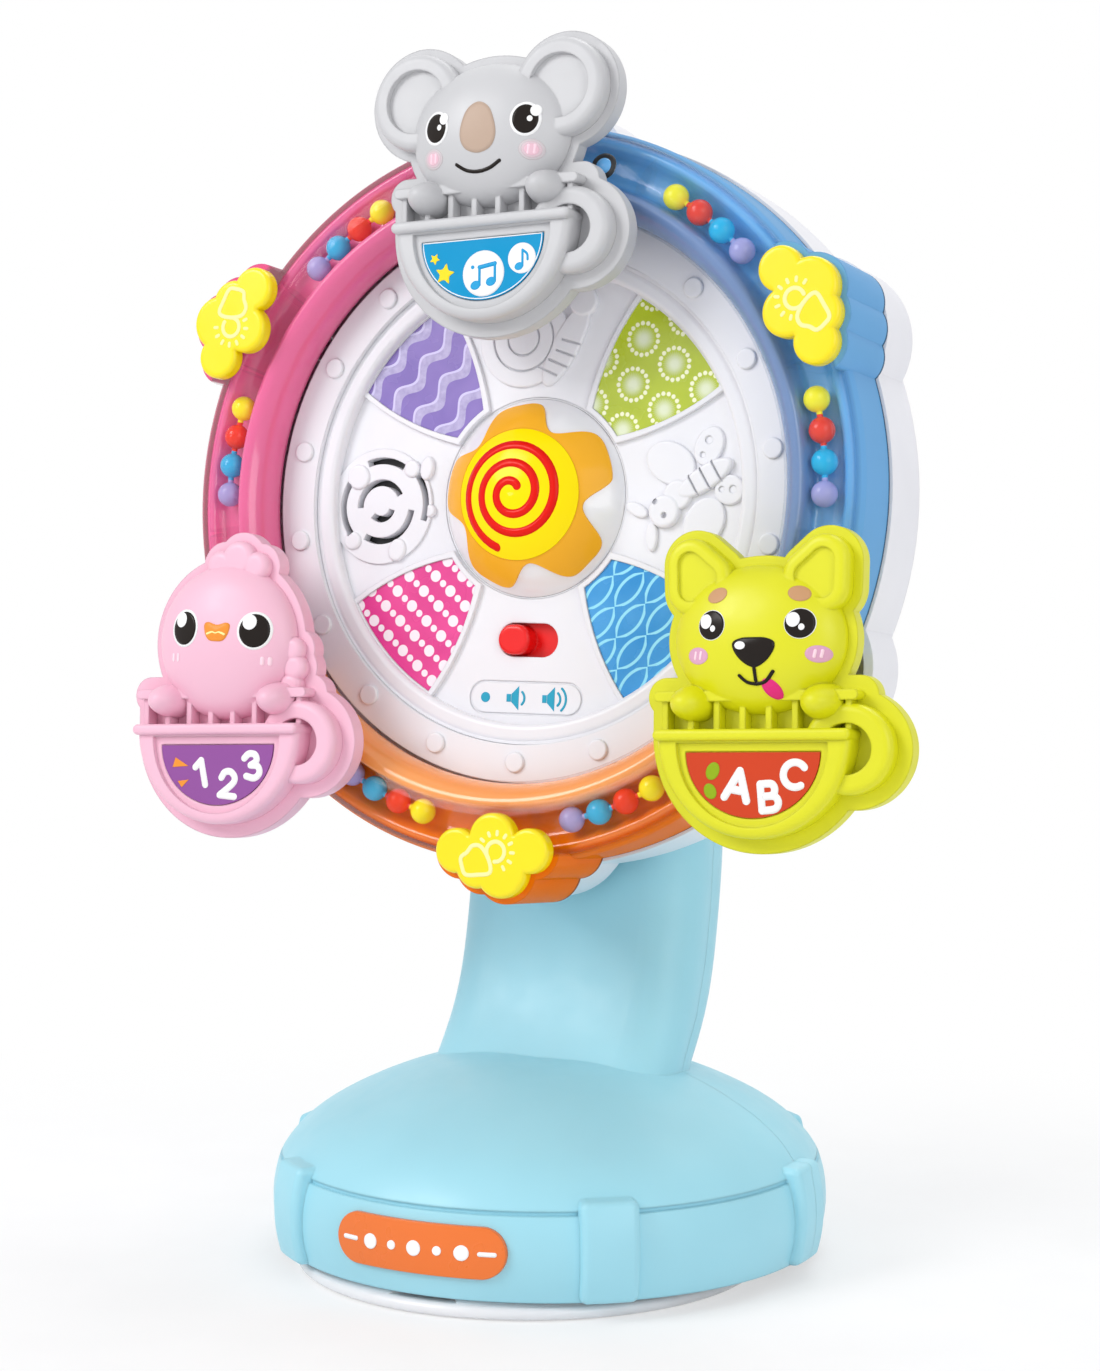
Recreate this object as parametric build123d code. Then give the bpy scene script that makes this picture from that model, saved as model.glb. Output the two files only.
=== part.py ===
"""Table spinner toy: a wheel with three gondolas on a stand held down by a suction cup.

Millimetres, +Z up, the toy faces -Y. The origin is on the suction cup's axis at table level.
Wheel pieces are drawn in the wheel's own frame: x to the right, y up the wheel, z out of its front,
with zero at the front outer edge of the coloured ring.
"""

import os
from math import asin, cos, degrees, radians, sin, sqrt, tan

from build123d import *

# Wheel place
lean = 6.0
axle_y = -5.7
axle_z = 158.2

# Clearances
running_gap = 0.05
seat_gap = 0.05
part_gap = 0.2
moving_gap = 0.4

# Base
base_y = 9.0
base_foot = 56.4
base_radius = 58.0
base_shoulder = 56.4
base_bottom = 3.6
base_middle = 12.0
base_rim_top = 20.8
base_dome_top = 40.4
base_wall = 2.4
crease_depth = 0.6
crease_width = 0.8
dome_shares = ((0.93, 0.26), (0.74, 0.62), (0.42, 0.95))
strap_width = 11.6
strap_proud = 2.0
strap_top = 23.4
strap_depth = 6.0
strap_round = 1.5
strap_angles = (38.0, 90.0, 142.0)

# Base plate and its bosses
plate_bottom = 8.2
plate_thick = 2.4
base_boss_radius = 4.0
base_boss_ring = 46.0
base_boss_angles = (55.0, 125.0, 235.0, 305.0)

# Column
column_width = 55.0
column_depth = 26.0
column_corner = 10.5
column_wall = 2.4
column_foot_y = 12.0
column_foot_z = 34.0
column_bend_y = 32.0
column_bend_z = 85.0
column_top_z = 190.0
column_top_round = 8.0
bend_shares = ((0.0, 0.0), (0.22, 0.12), (0.55, 0.29), (0.785, 0.51), (0.91, 0.725), (1.0, 1.0))
shell_boss_radius = 4.0
shell_boss_places = ((0.0, 177.0), (-17.0, 71.0), (17.0, 71.0))

# Label plate
label_length = 37.0
label_height = 10.0
label_proud = 0.9
label_z = 13.4

# Suction cup
cup_radius = 48.4
cup_lip = 2.6
cup_neck_z = 7.7
cup_stem_radius = 8.0
cup_stem_top = 17.0
cup_roof_z = 5.0
cup_shares = ((0.95, 0.42), (0.83, 0.62), (0.52, 0.87))
hollow_shares = ((0.83, 0.45), (0.52, 0.84), (0.25, 1.0))
notch_radius = 9.0
notch_out = 3.0
clamp_radius = 13.0
clamp_thick = 3.0

# Screws
screw_radius = 1.5
screw_head_radius = 2.8
screw_head_thick = 1.8
screw_sink = 0.6

# Spindle and hub housing
spindle_radius = 11.0
spindle_bore = 8.0
spindle_end = -41.0
hub_radius = 49.8
hub_wall = 2.0
hub_back = -25.0
hub_post_radius = 3.6
hub_post_ring = 43.0
washer_radius = 16.5
washer_thick = 1.5
nut_radius = 16.0
nut_thick = 4.5

# Hub face
face_front = -8.0
face_thick = 2.0
face_radius = 50.4
rim_width = 3.8
rim_rise = 2.6
rim_round = 1.2
panel_in = 22.2
panel_mid = 33.0
panel_out = 46.2
panel_half_angles = (10.5, 16.5, 16.0)
panel_thick = 0.5
panel_rib = 1.1
panel_rib_rise = 0.9
grille_x = -36.0
grille_y = -1.8
grille_slot = 1.4
grille_pad = 12.2
grille_ring_shares = (
    (0.79, 58.0, 112.0), (0.75, 148.0, 221.0), (0.88, 344.0, 398.0),
    (0.41, 28.0, 184.0), (0.60, 241.0, 354.0), (0.22, 226.0, 345.0),
)
grille_pad_rise = 0.5
pill_y = -41.2
pill_length = 26.0
pill_height = 7.0
pill_groove = 0.4

# Raised animals on the hub face: places and sizes are shares of its radius, turns are degrees
relief_rise = 1.5
turtle_oval_shares = (
    (-0.827, 0.087, 0.052, 0.052, 0, 0.73),
    (-0.573, 0.121, 0.036, 0.036, 0, 0.73),
    (-0.502, 0.123, 0.05, 0.03, 80, 0.73),
    (-0.48, -0.054, 0.026, 0.026, 0, 0.67),
    (-0.627, -0.218, 0.048, 0.04, 70, 0.73),
    (-0.843, -0.181, 0.04, 0.038, 0, 0.73),
)
bee_oval_shares = (
    (0.603, 0.139, 0.111, 0.083, -25, 0.53),
    (0.766, 0.206, 0.081, 0.06, 65, 0.53),
    (0.861, 0.032, 0.063, 0.06, 0, 0.53),
    (0.758, -0.099, 0.107, 0.083, 60, 0.53),
    (0.464, -0.048, 0.052, 0.026, -25, 0.6),
    (0.534, -0.155, 0.06, 0.025, 92, 0.6),
    (0.758, 0.079, 0.131, 0.05, 32, 0.93),
    (0.641, 0.012, 0.06, 0.06, 0, 0.8),
    (0.587, -0.054, 0.067, 0.067, 0, 1),
)
snail_oval_shares = (
    (-0.079, 0.655, 0.202, 0.202, 0, 0.53),
    (0.115, 0.625, 0.188, 0.06, 62, 0.67),
    (0.187, 0.798, 0.063, 0.06, 0, 0.87),
)
bee_groove_shares = (
    (0.71, 0.048, -58),
    (0.758, 0.077, -58),
    (0.806, 0.107, -58),
)
snail_groove_shares = (
    (0.038, 0.518, -24),
    (0.085, 0.548, -22),
    (0.119, 0.587, -19),
    (0.145, 0.633, -15),
)
bee_hole_shares = (
    (0.766, 0.23, 0.016),
    (0.742, 0.171, 0.012),
    (0.829, 0.034, 0.012),
    (0.877, 0.034, 0.016),
    (0.548, -0.016, 0.012),
    (0.591, -0.071, 0.012),
)
snail_ring_shares = (0.33, 0.65)
groove_length = 5.0
groove_width = 0.4
groove_depth = 0.5
oval_round_share = 0.45

# Centre button
button_radius = 20.4
button_rise = 10.5
button_wall = 2.0
button_flange = 1.8
button_flange_thick = 1.5
button_travel = 2.2
plunger_radius = 2.4
plunger_end = -12.0
splash_thick = 0.5
splash_radius = 16.7
splash_wave = 2.5
splash_lobes = 5
splash_turn = 28.0
splash_shares = ((-0.22, 0.85), (0.0, 1.0), (0.22, 0.85), (0.5, -1.0))
disc_radius = 13.4
disc_thick = 0.6
spring_radius = 5.2
spring_wire = 0.45
spring_pitch = 2.4
spring_turns = 5

# Slide switch
switch_y = -29.2
switch_window = 13.6
switch_height = 7.0
knob_length = 7.2
knob_rise = 1.6
knob_base_length = 21.6
knob_base_height = 9.0
knob_base_thick = 1.0
knob_round = 0.9
switch_body_length = 18.0
switch_body_height = 9.4

# Electronics
board_x = 4.0
board_y = -15.5
board_width = 40.0
board_height = 39.0
board_top = -15.8
board_thick = 1.6
board_post_radius = 2.4
board_post_inset = 3.4
speaker_radius = 10.6
speaker_depth = 5.0
speaker_magnet_radius = 6.5
speaker_magnet_depth = 3.5
lamp_radius = 2.5
lamp_top = -9.0
lamp_x = 9.5
lamp_y = 2.0
push_size = 6.0
push_clear = 0.3

# Battery box
cell_radius = 5.25
cell_length = 44.5
cell_pitch = 11.0
cell_nub_radius = 1.9
cell_nub = 1.0
battery_z = 111.5
tray_width = 35.0
tray_wall = 1.6
tray_room = 3.4
tray_rim = 4.0
contact_thick = 0.5
contact_cone = 1.2
contact_cone_radius = 3.0
door_width = 35.0
door_height = 64.0
door_inset = 0.5
tray_boss_radius = 3.2
tray_boss_y = -28.4
door_screw_length = 11.0

# Wheel tub
tub_back = -29.0
tub_wall = 2.0
tub_radius = 75.6
tub_lip = 57.6
tub_seam = -13.0
tub_collar_radius = 16.0
tub_collar_back = -30.6
bump_ring = 66.0
bump_radius = 16.0
ring_angles = (150.0, 30.0, 270.0)
bump_angles = (30.0, 90.0, 150.0, 210.0, 270.0, 330.0)
cloud_angles = (151.0, 29.0, 272.5)
gondola_angles = (91.9, 210.7, 332.4)

# Band with rivets
band_front = -4.6
band_thick = 1.6
rivet_radius = 2.1
rivet_rise = 0.7
rivet_count = 18
rivet_ring = 54.4

# Coloured ring
ring_out = 75.0
ring_in = 58.8
ring_inner_edge = -4.3
ring_crown = 7.2
ring_crown_r = 67.3
ring_wall = 1.5
segment_half = 53.0
pocket_centre = 22.4
pocket_half = 14.2
rib_angle = 0.9

# Beads
bead_radius = 2.6
bead_ring = 67.4
bead_z = 2.5
bead_pitch = 5.25
bead_count = 4
bead_core = 0.6

# Cloud badges
cloud_ring = 73.0
cloud_half = 12.6
cloud_thick = 3.0
cloud_round = 1.0
cloud_base = 7.7
cloud_margin = 1.2
cloud_shares = (
    (-0.64, -0.06, 0.36), (0.64, -0.06, 0.36), (-0.16, 0.24, 0.45), (0.26, 0.16, 0.38), (0.0, -0.26, 0.40),
)

# Gondola pins
pin_ring = 68.0
pin_radius = 2.6
pin_foot = -20.0
pin_head_radius = 4.6
pin_head_thick = 1.8
post_radius = 4.6
post_top = 6.8

# Gondolas
gondola_back = 8.2
gondola_joint = 13.0
gondola_front = 18.4
gondola_tilt = 2.5
gondola_floor = 2.2
shell_grow = 1.8
bowl_grow = 2.8
edge_round = 1.6
bowl_half = 19.6
bowl_deep = 19.6
bowl_sink = 0.9
bowl_border = 1.6
bowl_top = -15.7
rim_bar_height = 2.2
rim_bar_round = 0.8
rim_bar_half = 19.9
rim_bar_proud = 1.3
rail_count = 8
rail_width = 1.2
rail_pitch = 5.3
rail_height = 7.4
rail_front = 16.2
back_bar_half = 20.6
back_bar_height = 2.0
back_bar_front = 17.0
handle_x = 18.2
handle_y = -18.4
handle_half_x = 9.0
handle_half_y = 8.6
handle_hole_share = 0.56
head_bulge = 2.4
sticker_half = 13.7
sticker_deep = 12.7
sticker_drop = 3.1
sticker_thick = 0.5
sticker_sink = 1.2
paw_x = 13.2
paw_y = -9.6
paw_half_x = 4.4
paw_half_y = 3.6
paw_bulge = 3.0
neck_width = 30.0
neck_height = 14.0
koala_head = (17.6, 14.4, 2.4)
koala_ear = (16.0, 10.2, 9.8)
ear_hollow_share = 0.66
ear_sink = 1.2
bird_head = (16.4, 16.2, 2.5)
bird_trim_rise = 2.4
crest_shares = ((-0.10, 0.98, 0.20), (0.16, 1.05, 0.24), (0.42, 0.95, 0.19))
feather_shares = ((0.97, -0.12, 0.16), (1.0, -0.35, 0.17), (0.95, -0.57, 0.16))
dog_head = (17.4, 14.2, 2.4)
dog_ear_shares = ((0.10, 0.78), (1.08, 1.80), (1.04, 0.06))
dog_ear_round = 5.0
dog_ear_inset = 2.6
dog_ear_sink = 0.7

FULL_TURN = 360.0
MIN_Z = (Align.CENTER, Align.CENTER, Align.MIN)

face_normal = (0, -cos(radians(lean)), sin(radians(lean)))
wheel_frame = Plane(origin=(0, axle_y, axle_z), x_dir=(1, 0, 0), z_dir=face_normal)


def save(shape, name):
    export_step(shape, "parts/" + name + ".step")


def on_wheel(shape):
    return wheel_frame.location * shape


def polar(radius, angle):
    return radius * cos(radians(angle)), radius * sin(radians(angle))


def rod(radius, low, high, x=0.0, y=0.0):
    return Pos(x, y, low) * Cylinder(radius, high - low, align=MIN_Z)


def tube(radius, bore, low, high, x=0.0, y=0.0):
    return rod(radius, low, high, x, y) - rod(bore, low, high, x, y)


def slab(width, height, low, high, x=0.0, y=0.0):
    return Pos(x, y, low) * Box(width, height, high - low, align=MIN_Z)


def plate(sketch, low, high):
    return extrude(Pos(0, 0, low) * sketch, amount=high - low)


def spun(points, angle=FULL_TURN):
    outline = make_face(Polyline(*points, close=True))
    return revolve(Plane.XZ * outline, axis=Axis.Z, revolution_arc=angle)


def soften(shape, high, radius):
    """Round the edges that lie in the plane z = high."""
    edges = [edge for edge in shape.edges() if abs(edge.bounding_box().min.Z - high) < seat_gap
             and abs(edge.bounding_box().max.Z - high) < seat_gap]
    return fillet(edges, radius)


def screw(low, high):
    """A screw along +z with its head at the low end."""
    return rod(screw_head_radius, low, low + screw_head_thick) + rod(screw_radius, low, high)


def screw_hole(low, high):
    """The room for that screw, open below the head."""
    head = rod(screw_head_radius + part_gap, low - screw_head_thick, low + screw_head_thick)
    return head + rod(screw_radius + seat_gap, low, high)


# Stand


def base_body(grow, bottom):
    """The base's turned form from the given bottom up, grown outwards by grow."""
    foot = (base_foot + grow, bottom)
    shoulder = (base_shoulder + grow, base_rim_top)
    top = base_dome_top + grow
    rise = top - base_rim_top
    knots = [(shoulder[0] * share[0], base_rim_top + rise * share[1]) for share in dome_shares]
    crown = Spline(shoulder, *knots, (0, top))
    wall = ThreePointArc(foot, (base_radius + grow, base_middle), shoulder)
    outline = make_face(Polyline((0, top), (0, bottom), foot) + wall + crown)
    return Pos(0, base_y, 0) * revolve(Plane.XZ * outline, axis=Axis.Z)


def column_path():
    sweep_y = column_bend_y - column_foot_y
    rise = column_bend_z - column_foot_z
    path = [(column_foot_y + sweep_y * share[0], column_foot_z + rise * share[1]) for share in bend_shares]
    return path + [(column_y(column_top_z), column_top_z)]


def column_y(z):
    return column_bend_y + (z - column_bend_z) * tan(radians(lean))


def column_body(inset):
    path = column_path()
    path[-1] = (path[-1][0], path[-1][1] - inset)
    section = RectangleRounded(column_width - 2 * inset, column_depth - 2 * inset, column_corner - inset)
    lower = loft([Pos(0, y, z) * section for y, z in path[:-1]])
    upper = loft([Pos(0, y, z) * section for y, z in path[-2:]])
    upper = fillet(upper.faces().sort_by(Axis.Z)[-1].edges(), column_top_round - inset)
    return lower + upper


def strap():
    """One rounded strap over the rim, at the front of the base."""
    foot = (base_foot + strap_proud, base_bottom)
    head = (base_shoulder + strap_proud, strap_top)
    inside = base_shoulder - strap_depth
    outer = ThreePointArc(foot, (base_radius + strap_proud, base_middle), head)
    outline = make_face(outer + Polyline(head, (inside, strap_top), (inside, base_bottom), foot))
    outline = fillet(outline.vertices().group_by(Axis.X)[-1], strap_round)
    band = revolve(Plane.XZ * outline, axis=Axis.Z)
    block = Box(strap_width, base_radius * 2, strap_top, align=(Align.CENTER, Align.MAX, Align.MIN))
    band = band & (Pos(0, 0, base_bottom) * block)
    edges = [edge for edge in band.edges() if edge.center().Y < -base_foot
             and abs(abs(edge.center().X) - strap_width / 2) < seat_gap]
    return fillet(edges, strap_round)


def straps():
    piece = strap()
    return [Pos(0, base_y) * Rot(0, 0, side * angle) * piece for angle in strap_angles for side in (1, -1)]


def base_boss_places():
    spots = [polar(base_boss_ring, angle) for angle in base_boss_angles]
    return [(x, base_y + y) for x, y in spots]


def shell_screw_line(x, z):
    """A frame on the back of the column whose z runs forward along the screw."""
    back = column_back(z)
    return Plane(origin=(x, back, z), x_dir=(1, 0, 0), z_dir=(0, -1, 0))


def column_back(z):
    for low, high in zip(column_path()[:-1], column_path()[1:]):
        if low[1] <= z <= high[1]:
            share = (z - low[1]) / (high[1] - low[1])
            return low[0] + (high[0] - low[0]) * share + column_depth / 2
    return column_depth / 2


def stand_shells():
    outer = base_body(0, base_bottom)
    crease = Cylinder(base_radius * 2, crease_width) - Cylinder(base_shoulder - crease_depth, crease_width)
    outer -= Pos(0, base_y, base_rim_top) * crease
    for piece in straps():
        outer += piece
    column = column_body(0)
    outer += column
    inner = base_body(-base_wall, 0)
    hollow = inner + column_body(column_wall)
    solid = outer - hollow
    for x, y in base_boss_places():
        solid += outer & rod(base_boss_radius, plate_bottom + plate_thick, base_dome_top, x, y)
        solid -= rod(screw_radius + seat_gap, plate_bottom, base_rim_top, x, y)
    for x, z in shell_boss_places:
        line = shell_screw_line(x, z).location
        solid += outer & (line * rod(shell_boss_radius, 0, column_depth))
        solid -= line * screw_hole(screw_sink, column_depth - column_wall * 2)
    path = column_path()
    curve = Polyline((base_y, base_bottom - plate_bottom), (base_y, base_rim_top), *path[1:])
    far_y = -base_radius * 2
    high_z = column_top_z * 2
    edge = Polyline((path[-1][0], column_top_z), (path[-1][0], high_z), (far_y, high_z),
                    (far_y, base_bottom - plate_bottom), (base_y, base_bottom - plate_bottom))
    front_room = extrude(Plane.YZ * make_face(curve + edge), amount=base_radius * 2, both=True)
    spindle_hole = on_wheel(rod(spindle_radius + part_gap, spindle_end - nut_thick, face_front))
    front = (solid & front_room) - spindle_hole
    rear = solid - front_room - spindle_hole
    return front, rear


def battery_frame():
    middle = (0, column_y(battery_z), battery_z)
    return Plane(origin=middle, x_dir=(1, 0, 0), z_dir=face_normal).location


def in_box(shape):
    return battery_frame() * shape


def door_block(margin):
    return in_box(slab(door_width - 2 * margin, door_height - 2 * margin, -column_depth, -column_depth / 4))


def cell_seat():
    """How far behind the column's middle the cells lie."""
    return -(column_depth / 2 - column_wall - cell_radius - door_inset)


def tray_inner():
    return cell_length + cell_nub + contact_thick * 2 + contact_cone


def battery_tray():
    floor_low = cell_seat() + cell_radius + part_gap
    floor_high = floor_low + tray_wall
    tall = tray_inner() + 2 * tray_wall
    tray = slab(tray_width, tall, floor_low, floor_high)
    low = floor_low - tray_room - tray_rim
    for side in (1, -1):
        tray += slab(tray_width, tray_wall, low, floor_high, 0, side * (tray_inner() + tray_wall) / 2)
        wall_x = side * (tray_width - tray_wall) / 2
        tray += slab(tray_wall, tall, floor_low - tray_room, floor_high, wall_x, 0)
    reach = column_depth / 2 - column_wall - part_gap
    tray += slab(tray_width / 2, tray_rim, floor_high - seat_gap, reach)
    boss_low = -(column_depth / 2 - column_wall - part_gap)
    tray += rod(tray_boss_radius, boss_low, floor_high, 0, tray_boss_y)
    return tray - rod(screw_radius + seat_gap, boss_low, floor_high, 0, tray_boss_y)


def door_screw_low():
    return -column_depth / 2 + screw_sink


def cell(x):
    body = Rot(90, 0, 0) * Cylinder(cell_radius, cell_length)
    nub = Pos(0, (cell_length + cell_nub) / 2, 0) * Rot(90, 0, 0) * Cylinder(cell_nub_radius, cell_nub)
    shift = (contact_cone - cell_nub) / 2
    return Pos(x, shift, cell_seat()) * (body + nub)


def contact(side):
    wide = tray_width - 2 * tray_wall - 2 * part_gap
    tall = cell_radius + tray_rim
    place = side * (tray_inner() / 2 - contact_thick / 2)
    sheet = Pos(0, place, cell_seat()) * Box(wide, contact_thick, tall)
    if side < 0:
        for step in (-1, 0, 1):
            cone = Cone(contact_cone_radius, contact_cone_radius / 2, contact_cone - part_gap, align=MIN_Z)
            spot = Pos(step * cell_pitch, place + contact_thick / 2, cell_seat())
            sheet += spot * Rot(-90, 0, 0) * cone
    return sheet


def base_plate():
    top = plate_bottom + plate_thick
    disc = rod(base_shoulder - base_wall - part_gap, plate_bottom, top, 0, base_y)
    disc -= rod(cup_stem_radius + part_gap, plate_bottom, top)
    for x, y in base_boss_places():
        disc -= screw_hole_up(x, y)
    return disc


def screw_hole_up(x, y):
    return Pos(x, y, plate_bottom + screw_sink) * screw_hole(0, base_rim_top)


def suction_cup():
    top = cup_neck_z
    outer = [(cup_radius * share[0], top * share[1]) for share in cup_shares]
    hollow = [(cup_radius * share[0], cup_roof_z * share[1]) for share in hollow_shares]
    wall = Spline((cup_radius - cup_lip / 2, cup_lip), *outer, (cup_stem_radius, top))
    stem = Polyline((cup_stem_radius, top), (cup_stem_radius, cup_stem_top),
                    (0, cup_stem_top), (0, cup_roof_z))
    roof = Spline((cup_radius - cup_lip, 0), *hollow, (0, cup_roof_z))
    foot = Line((cup_radius - cup_lip, 0), (cup_radius - cup_lip / 2, 0))
    edge = cup_radius - cup_lip / 2
    lip = ThreePointArc((edge, 0), (cup_radius, cup_lip / 2), (edge, cup_lip))
    cup = revolve(Plane.XZ * make_face(wall + stem + roof + foot + lip), axis=Axis.Z)
    return cup - rod(notch_radius, cup_lip, cup_neck_z, 0, -cup_radius - notch_out)


def label_plate():
    pill = SlotOverall(label_length, label_height)
    block = extrude(Pos(0, base_y, label_z) * Rot(90, 0, 0) * pill, amount=base_radius * 2)
    skin = base_body(label_proud, base_bottom)
    under = base_body(seat_gap, base_bottom)
    return (skin - under) & block


# Hub


def hub_posts():
    return [polar(hub_post_ring, angle) for angle in (45.0, 135.0, 225.0, 315.0)]


def board_posts():
    across = board_width / 2 - board_post_inset
    along = board_height / 2 - board_post_inset
    return [(board_x + i * across, board_y + j * along) for i in (1, -1) for j in (1, -1)]


def hub_housing():
    face_back = face_front - face_thick
    body = tube(hub_radius, hub_radius - hub_wall, hub_back, face_back)
    body += rod(hub_radius - hub_wall / 2, hub_back, hub_back + hub_wall)
    body += rod(spindle_radius, spindle_end, hub_back + hub_wall / 2)
    body -= rod(spindle_bore, spindle_end, hub_back + hub_wall)
    for x, y in hub_posts():
        body += rod(hub_post_radius, hub_back, face_back, x, y)
        body -= Pos(x, y, 0) * screw_hole(hub_back + screw_sink, face_back)
    for x, y in board_posts():
        body += rod(board_post_radius, hub_back + hub_wall / 2, board_top - board_thick, x, y)
    return body


def panel_outline(angle, margin):
    corner = [panel_in - margin, panel_mid, panel_out + margin]
    spread = [half + degrees(asin(margin / r)) for half, r in zip(panel_half_angles, corner)]
    left = [polar(r, angle + a) for r, a in zip(corner, spread)]
    right = [polar(r, angle - a) for r, a in zip(corner, spread)]
    inner = ThreePointArc(left[0], polar(corner[0], angle), right[0])
    outer = ThreePointArc(left[2], polar(corner[2], angle), right[2])
    return make_face(inner + outer + ThreePointArc(*left) + ThreePointArc(*right))


def grille():
    slots = None
    low = face_front - face_thick * 2
    for share, start, end in grille_ring_shares:
        near = grille_pad * share - grille_slot / 2
        far = near + grille_slot
        ring = spun([(near, low), (far, low), (far, 0), (near, 0)], end - start)
        ring = Pos(grille_x, grille_y, 0) * Rot(0, 0, start) * ring
        slots = ring if slots is None else slots + ring
    return slots


def on_face(x, y):
    """A place on the hub face, given as shares of its radius."""
    return Pos(x * face_radius, y * face_radius)


def relief_ovals():
    """The animals' pieces with softened tops, and the pad round the speaker slots."""
    shapes = [rod(grille_pad, face_front - seat_gap, face_front + grille_pad_rise, grille_x, grille_y)]
    for x, y, half, tall, turn, up in snail_oval_shares + turtle_oval_shares + bee_oval_shares:
        rise = relief_rise * up
        oval = Rot(0, 0, turn) * Ellipse(half * face_radius, tall * face_radius)
        block = plate(on_face(x, y) * oval, face_front - seat_gap, face_front + rise)
        shapes.append(soften(block, face_front + rise, rise * oval_round_share))
    return shapes


def relief_cuts():
    """The stripes, rings and eyes cut into the animals, and the line round the sound signs."""
    cuts = []
    for x, y, turn in bee_groove_shares + snail_groove_shares:
        line = on_face(x, y) * Rot(0, 0, turn) * SlotOverall(groove_length, groove_width)
        cuts.append(plate(line, face_front + groove_depth, 0))
    for x, y, size in bee_hole_shares:
        cuts.append(plate(on_face(x, y) * Circle(size * face_radius), face_front + groove_depth, 0))
    x, y, size = snail_oval_shares[0][:3]
    for share in snail_ring_shares:
        radius = share * size * face_radius
        ring = Circle(radius + groove_width) - Circle(radius)
        cuts.append(plate(on_face(x, y) * ring, face_front + groove_depth / 2, 0))
    line = SlotOverall(pill_length, pill_height)
    line -= SlotOverall(pill_length - pill_groove * 2, pill_height - pill_groove * 2)
    cuts.append(plate(Pos(0, pill_y) * line, face_front - groove_depth / 2, 0))
    return cuts


def hub_face():
    back = face_front - face_thick
    disc = rod(face_radius, back, face_front)
    rim = tube(face_radius, face_radius - rim_width, back, face_front + rim_rise)
    rim = soften(rim, face_front + rim_rise, rim_round)
    disc += rim
    for angle in (45.0, 135.0, 225.0, 315.0):
        rib = plate(panel_outline(angle, panel_rib), face_front - seat_gap, face_front + panel_rib_rise)
        disc += rib - plate(panel_outline(angle, seat_gap), face_front, face_front + panel_rib_rise)
    for oval in relief_ovals():
        disc += oval
    for cut in relief_cuts():
        disc -= cut
    disc -= rod(button_radius + moving_gap, back, 0)
    window = Pos(0, switch_y) * SlotOverall(switch_window, switch_height)
    disc -= plate(window, back, 0)
    return disc - grille()


def panel(angle):
    return plate(panel_outline(angle, 0), face_front, face_front + panel_thick)


def button_dome():
    wall_radius = button_radius - button_wall
    flange_radius = button_radius + button_flange
    flange_top = face_front - face_thick - moving_gap
    flange_low = flange_top - button_flange_thick
    top = face_front + button_rise
    outer = ThreePointArc((0, top), (button_radius / 2, cap_z(button_radius, button_rise, button_radius / 2)),
                          (button_radius, face_front))
    skirt = Polyline((button_radius, face_front), (button_radius, flange_top), (flange_radius, flange_top),
                     (flange_radius, flange_low), (wall_radius, flange_low), (wall_radius, face_front))
    rise = button_rise - button_wall
    roof = cap_z(wall_radius, rise, plunger_radius)
    halfway = (wall_radius / 2, cap_z(wall_radius, rise, wall_radius / 2))
    inner = ThreePointArc((wall_radius, face_front), halfway, (plunger_radius, roof))
    plunger = Polyline((plunger_radius, roof), (plunger_radius, plunger_end), (0, plunger_end), (0, top))
    return revolve(Plane.XZ * make_face(outer + skirt + inner + plunger), axis=Axis.Z)


def cap_z(radius, rise, x):
    """Height at x of a ball cap that stands on the face, radius wide and rise high."""
    ball = (radius * radius + rise * rise) / (2 * rise)
    return face_front + rise - ball + sqrt(ball * ball - x * x)


def ball_cap(radius, rise, low):
    """The part of a ball above z = low that is rise high and radius wide there."""
    ball = (radius * radius + rise * rise) / (2 * rise)
    whole = Pos(0, 0, low + rise - ball) * Sphere(ball)
    return whole & rod(radius * 2, low, low + rise * 2)


def splash_outline():
    points = []
    for lobe in range(splash_lobes):
        for turn, wave in splash_shares:
            angle = splash_turn + (lobe + turn) * FULL_TURN / splash_lobes
            points.append(polar(splash_radius + splash_wave * wave, angle))
    return make_face(Spline(*points, periodic=True))


def button_skins():
    room = plate(splash_outline(), face_front, face_front + button_rise * 2)
    shell = ball_cap(button_radius + splash_thick, button_rise + splash_thick, face_front)
    under = ball_cap(button_radius + seat_gap, button_rise + seat_gap, face_front)
    hole = rod(disc_radius + part_gap, face_front, face_front + button_rise * 2)
    splash = (shell - under) & room
    raised = ball_cap(button_radius + disc_thick, button_rise + disc_thick, face_front)
    disc = (raised - under) & rod(disc_radius, face_front, face_front + button_rise * 2)
    return splash - hole, disc


def button_spring():
    tall = spring_pitch * spring_turns
    path = Helix(spring_pitch, tall, spring_radius)
    wire = Plane(origin=path @ 0, z_dir=path % 0) * Circle(spring_wire)
    coil = sweep(wire, path=path, is_frenet=True)
    return Pos(0, 0, board_top + spring_wire) * coil


def switch_knob():
    base_top = face_front - face_thick - moving_gap
    x = -(switch_window - knob_length) / 2 + moving_gap
    tongue = slab(knob_base_length, knob_base_height, base_top - knob_base_thick, base_top, x, switch_y)
    thumb = SlotOverall(knob_length, switch_height - 2 * moving_gap)
    grip = plate(Pos(x, switch_y) * thumb, base_top - knob_base_thick, face_front + knob_rise)
    grip = soften(grip, face_front + knob_rise, knob_round)
    return tongue + grip


def switch_body():
    top = face_front - face_thick - moving_gap - knob_base_thick - moving_gap
    return slab(switch_body_length, switch_body_height, board_top, top, 0, switch_y)


def speaker():
    top = face_front - face_thick - part_gap
    basket = rod(speaker_radius, top - speaker_depth, top, grille_x, grille_y)
    low = top - speaker_depth - speaker_magnet_depth
    return basket + rod(speaker_magnet_radius, low, top - speaker_depth / 2, grille_x, grille_y)


# Wheel


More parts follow.
